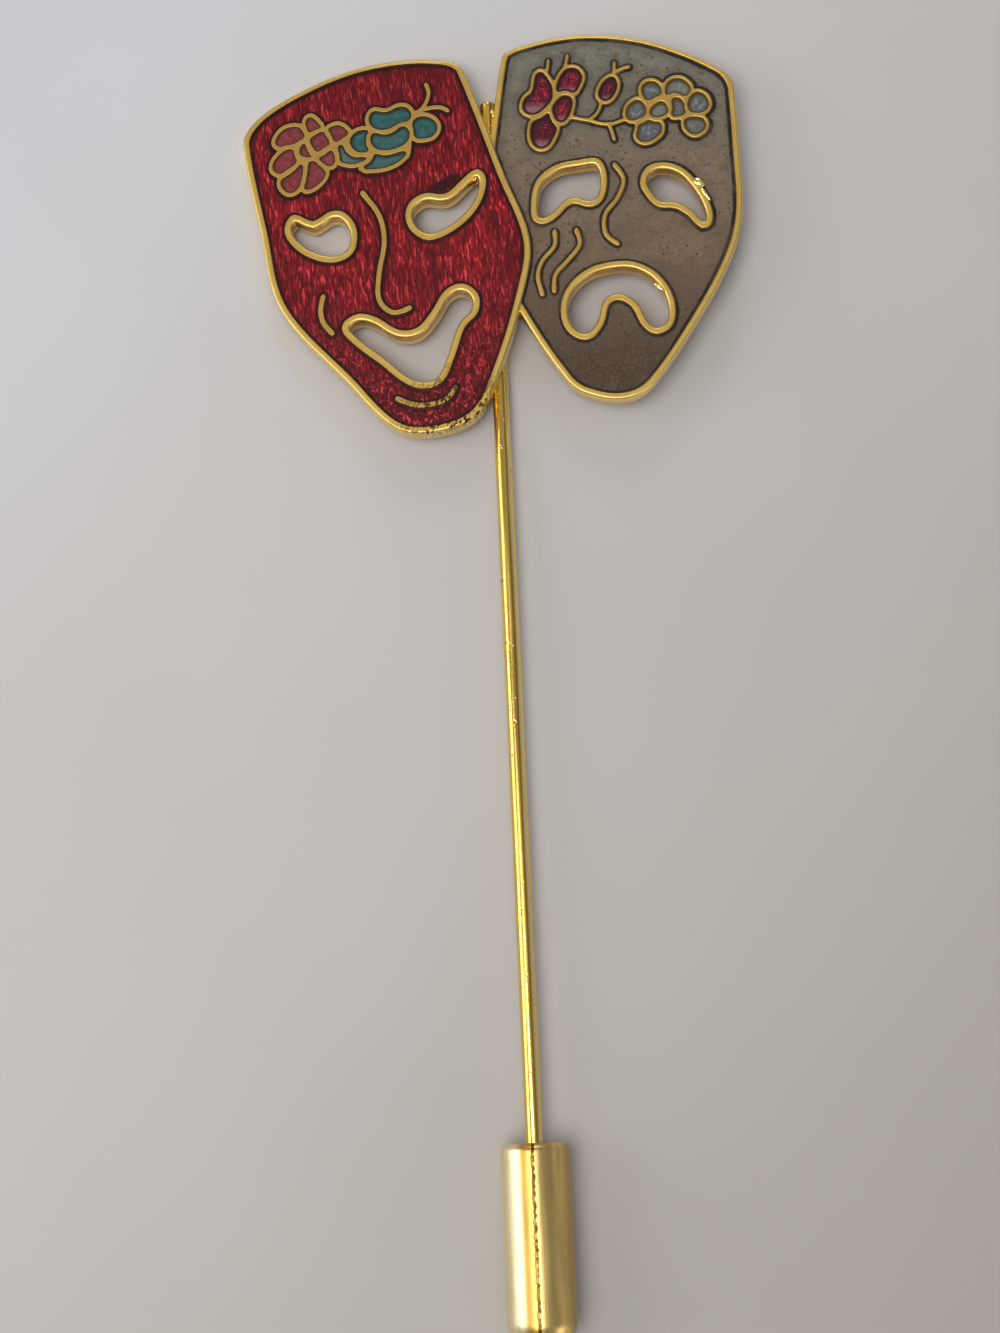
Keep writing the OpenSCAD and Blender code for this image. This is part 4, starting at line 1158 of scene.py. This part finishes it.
class PinClutch(PropertyGroup):
    """Sizes and colours of the clutch."""
    thickness: length_setting("Thickness", "Diameter of the barrel", 4.0, 2, 8)
    length: length_setting("Length", "Length of the barrel", 11.2, 5, 20)
    segments: IntProperty(name="Segments", description="Points round the barrel", default=128, min=24, max=256)
    colour: colour_setting("Colour", "Gold of the barrel", (0.82, 0.6, 0.22))
    pale_reflection_colour: colour_setting("Pale side", "Paler gold down the barrel's side, painted as a reflection and as rubbing", (0.95, 0.85, 0.55))


class PinStage(PropertyGroup):
    """The floor, the light and the camera."""
    floor_colour: colour_setting("Floor", "Colour of the pale floor", (0.47, 0.45, 0.435))
    lens: FloatProperty(name="Lens", description="Focal length of the camera, mm", default=67.65, min=20, max=200,
                        unit="CAMERA")


class PIN_OT_plates(Operator):
    """Builds the gilt plates of both masks"""
    bl_idname = "pin.plates"
    bl_label = "Plates"

    def execute(self, context):
        style = context.scene.pin_plates
        laugh, weep = outlines(round(style.point_step, 4)).values()
        gilt = gilt_material(style, "gilt plate", style.wall_reflection_colour)
        # A copy of the gilt with darker walls, as painted shade.
        shaded_gilt = gilt_material(style, "gilt plate, painted wall shade", style.deep_wall_shade_colour)
        edge, hole = style.edge_round, style.hole_round
        build_plate("laughing_plate", laugh, HEIGHTS["laugh"], (style.laugh_wire_round, edge, hole), gilt,
                    worn=(-2.6, -20.9, 3.3))
        build_plate("weeping_plate", weep, HEIGHTS["weep"], (style.weep_wire_round, edge, hole), shaded_gilt, under=laugh)
        sheets = Sheets()
        for burr in BURRS:
            add_nugget(sheets, *burr)
        sheets.make("burrs", gilt, "pin", ("mask_frame",), "gilt_plate")
        return {"FINISHED"}


# Enamel pieces: mask, name, slot, and the start and number of the nodes that each stands for

ENAMELS = (
    ("laugh", "red_enamel_field", "red_enamel", "red_enamel", 0),
    ("laugh", "flower_cells", "pink_enamel", "pink_cell", 9),
    ("laugh", "insect_cells", "teal_enamel", "teal_cell", 6),
    ("weep", "grey_enamel_field", "grey_enamel", "grey_enamel", 0),
    ("weep", "butterfly_cells", "ruby_enamel", "ruby_cell", 5),
    ("weep", "blossom_cells", "pale_enamel", "pale_cell", 8),
)

CELL_LOOKS = {
    "pink_enamel": dict(light=(0.23, 0.036, 0.042), dark=(0.13, 0.016, 0.02), rim_shadow_colour=(0.06, 0.024, 0.008)),
    "teal_enamel": dict(light=(0.024, 0.105, 0.1), dark=(0.016, 0.065, 0.065), rim_shadow_colour=(0.012, 0.022, 0.014),
                        odd=(0.1, 0.14, 0.11), upper=0.05),
    "ruby_enamel": dict(light=(0.1, 0.003, 0.012), dark=(0.035, 0.002, 0.008), rim_shadow_colour=(0.012, 0.002, 0.004),
                        foot=(0.24, 0.14, 0.16), sparkle=(0.68, 0.02, 0.05), odd=(0.015, 0.002, 0.006), upper=0.05),
    "pale_enamel": dict(light=(0.105, 0.11, 0.115), dark=(0.07, 0.072, 0.075), rim_shadow_colour=(0.055, 0.045, 0.015),
                        spots=0.85, odd=(0.2, 0.185, 0.13), upper=0.08),
}


class PIN_OT_enamel(Operator):
    """Fills the pools of both masks with enamel"""
    bl_idname = "pin.enamel"
    bl_label = "Enamel"

    def execute(self, context):
        style = context.scene.pin_enamel
        looks = {"red_enamel": red_material(style), "grey_enamel": grey_material(style)}
        for slot, settings in CELL_LOOKS.items():
            looks[slot] = cell_material(slot.replace("_", " "), **settings)
        nodes = {slot: tuple(f"{start}_{i + 1}" for i in range(count)) or (start,)
                 for _, _, slot, start, count in ENAMELS}
        for mask, outline in outlines(round(context.scene.pin_plates.point_step, 4)).items():
            heights, pieces = HEIGHTS[mask], [entry[1:3] for entry in ENAMELS if entry[0] == mask]
            owners = pool_owners(outline, [n for _, slot in pieces for n in nodes[slot]], heights[2])
            for name, slot in pieces:
                grid = style.grid if len(nodes[slot]) == 1 else CELL_GRID
                build_enamel(name, outline, owners, nodes[slot], heights, style.rise, grid, looks[slot], slot)
        return {"FINISHED"}


class PIN_OT_stem(Operator):
    """Draws the stem and the solder that holds it to the plates' back"""
    bl_idname = "pin.stem"
    bl_label = "Stem"

    def execute(self, context):
        style = context.scene.pin_stem
        sheets = Sheets()
        add_turned(sheets, stem_profile(style), style.segments, swell=stem_swell)
        add_solder(sheets, start=2.7, length=12.6, spread=0.35)
        sheets.make("stem_and_solder", stem_material(style), "pin", ("mask_frame",), "gilt_plate")
        return {"FINISHED"}


class PIN_OT_clutch(Operator):
    """Turns the clutch's barrel and the grip inside it"""
    bl_idname = "pin.clutch"
    bl_label = "Clutch"

    def execute(self, context):
        style = context.scene.pin_clutch
        barrel, grip = Sheets(), Sheets()
        for profile in barrel_profiles(style):
            add_turned(barrel, profile, style.segments)
        barrel.make("clutch_body", barrel_material(style), "clutch", ("clutch_barrel",), "clutch")
        add_turned(grip, grip_profile(style), 64, closed=True)
        grip.make("clutch_inside_grip", grip_material(), "grip", ("clutch_grip",), "grip")
        return {"FINISHED"}


# Lamps: name, place, size, power and colour

LAMPS = (("window", (-0.44, 0.02, 0.2), 0.32, 0.85, (0.97, 0.985, 1.0)),
         ("ceiling", (-0.12, -0.1, 0.5), 0.28, 1.8, (1.0, 0.985, 0.965)),
         ("doorway", (0.35, -0.3, 0.15), 0.2, 0.25, (1.0, 0.9, 0.78)),
         ("skylight", (0.0, 0.42, 0.24), 0.15, 0.4, (0.98, 0.99, 1.0)))
CAMERA_PLACE, CAMERA_TURN = (-0.001940, -0.025882, 0.147721), (10, 0, -2.483)
FLOOR_HALF = 0.6


class PIN_OT_stage(Operator):
    """Lays the pale floor, sets the soft light and places the camera"""
    bl_idname = "pin.stage"
    bl_label = "Stage"

    def execute(self, context):
        scene, style = context.scene, context.scene.pin_stage

        def add(name, data, place=(0, 0, 0), turn=(0, 0, 0)):
            """A new object in the scene."""
            made = bpy.data.objects.new(name, data)
            made.location, made.rotation_euler = place, turn
            context.collection.objects.link(made)
            return made

        mesh = bpy.data.meshes.new("floor")
        corners = [(x * FLOOR_HALF, y * FLOOR_HALF, 0) for x, y in ((-1, -1), (1, -1), (1, 1), (-1, 1))]
        mesh.from_pydata(corners, [], [(0, 1, 2, 3)])
        mesh.materials.append(floor_material(style))
        floor = add("floor", mesh)
        for name, place, size, power, colour in LAMPS:
            data = bpy.data.lights.new(name, "AREA")
            data.size, data.energy, data.color = size, power, colour
            x, y, z = place
            add(name, data, place, (math.atan2(math.hypot(x, y), z), 0, math.atan2(-x, y) + math.pi))
        world = bpy.data.worlds.new("soft studio")
        scene.world = world
        world.use_nodes = True
        background = world.node_tree.nodes["Background"]
        background.inputs["Color"].default_value = (0.98, 0.975, 1.0, 1)
        background.inputs["Strength"].default_value = 0.33
        data = bpy.data.cameras.new("camera")
        data.lens, data.sensor_width, data.clip_start = style.lens, 36.0, 0.01
        scene.camera = add("camera", data, CAMERA_PLACE, tuple(math.radians(angle) for angle in CAMERA_TURN))
        scene.view_settings.view_transform = "Standard"
        return {"FINISHED"}


GROUPS = {"pin_plates": (PinPlates, PIN_OT_plates), "pin_enamel": (PinEnamel, PIN_OT_enamel),
          "pin_stem": (PinStem, PIN_OT_stem), "pin_clutch": (PinClutch, PIN_OT_clutch),
          "pin_stage": (PinStage, PIN_OT_stage)}


class PIN_PT_panel(Panel):
    """Lists the pieces of the pin in the sidebar"""
    bl_idname = "PIN_PT_panel"
    bl_label = "Stick pin"
    bl_space_type = "VIEW_3D"
    bl_region_type = "UI"
    bl_category = "Stick pin"

    def draw(self, context):
        for key, (group, operator) in GROUPS.items():
            box = self.layout.box()
            box.operator(operator.bl_idname)
            for setting in group.__annotations__:
                box.prop(getattr(context.scene, key), setting)


CLASSES = [entry for pair in GROUPS.values() for entry in pair] + [PIN_PT_panel]


def register():
    """Adds the classes and their settings to Blender."""
    for entry in CLASSES:
        bpy.utils.register_class(entry)
    for key, (group, _) in GROUPS.items():
        setattr(bpy.types.Scene, key, PointerProperty(type=group))


def unregister():
    """Takes the settings and classes out again."""
    for key in GROUPS:
        delattr(bpy.types.Scene, key)
    for entry in reversed(CLASSES):
        bpy.utils.unregister_class(entry)


def main():
    register()
    bpy.ops.pin.plates()
    bpy.ops.pin.enamel()
    bpy.ops.pin.stem()
    bpy.ops.pin.clutch()
    bpy.ops.pin.stage()


if __name__ == "__main__":
    main()
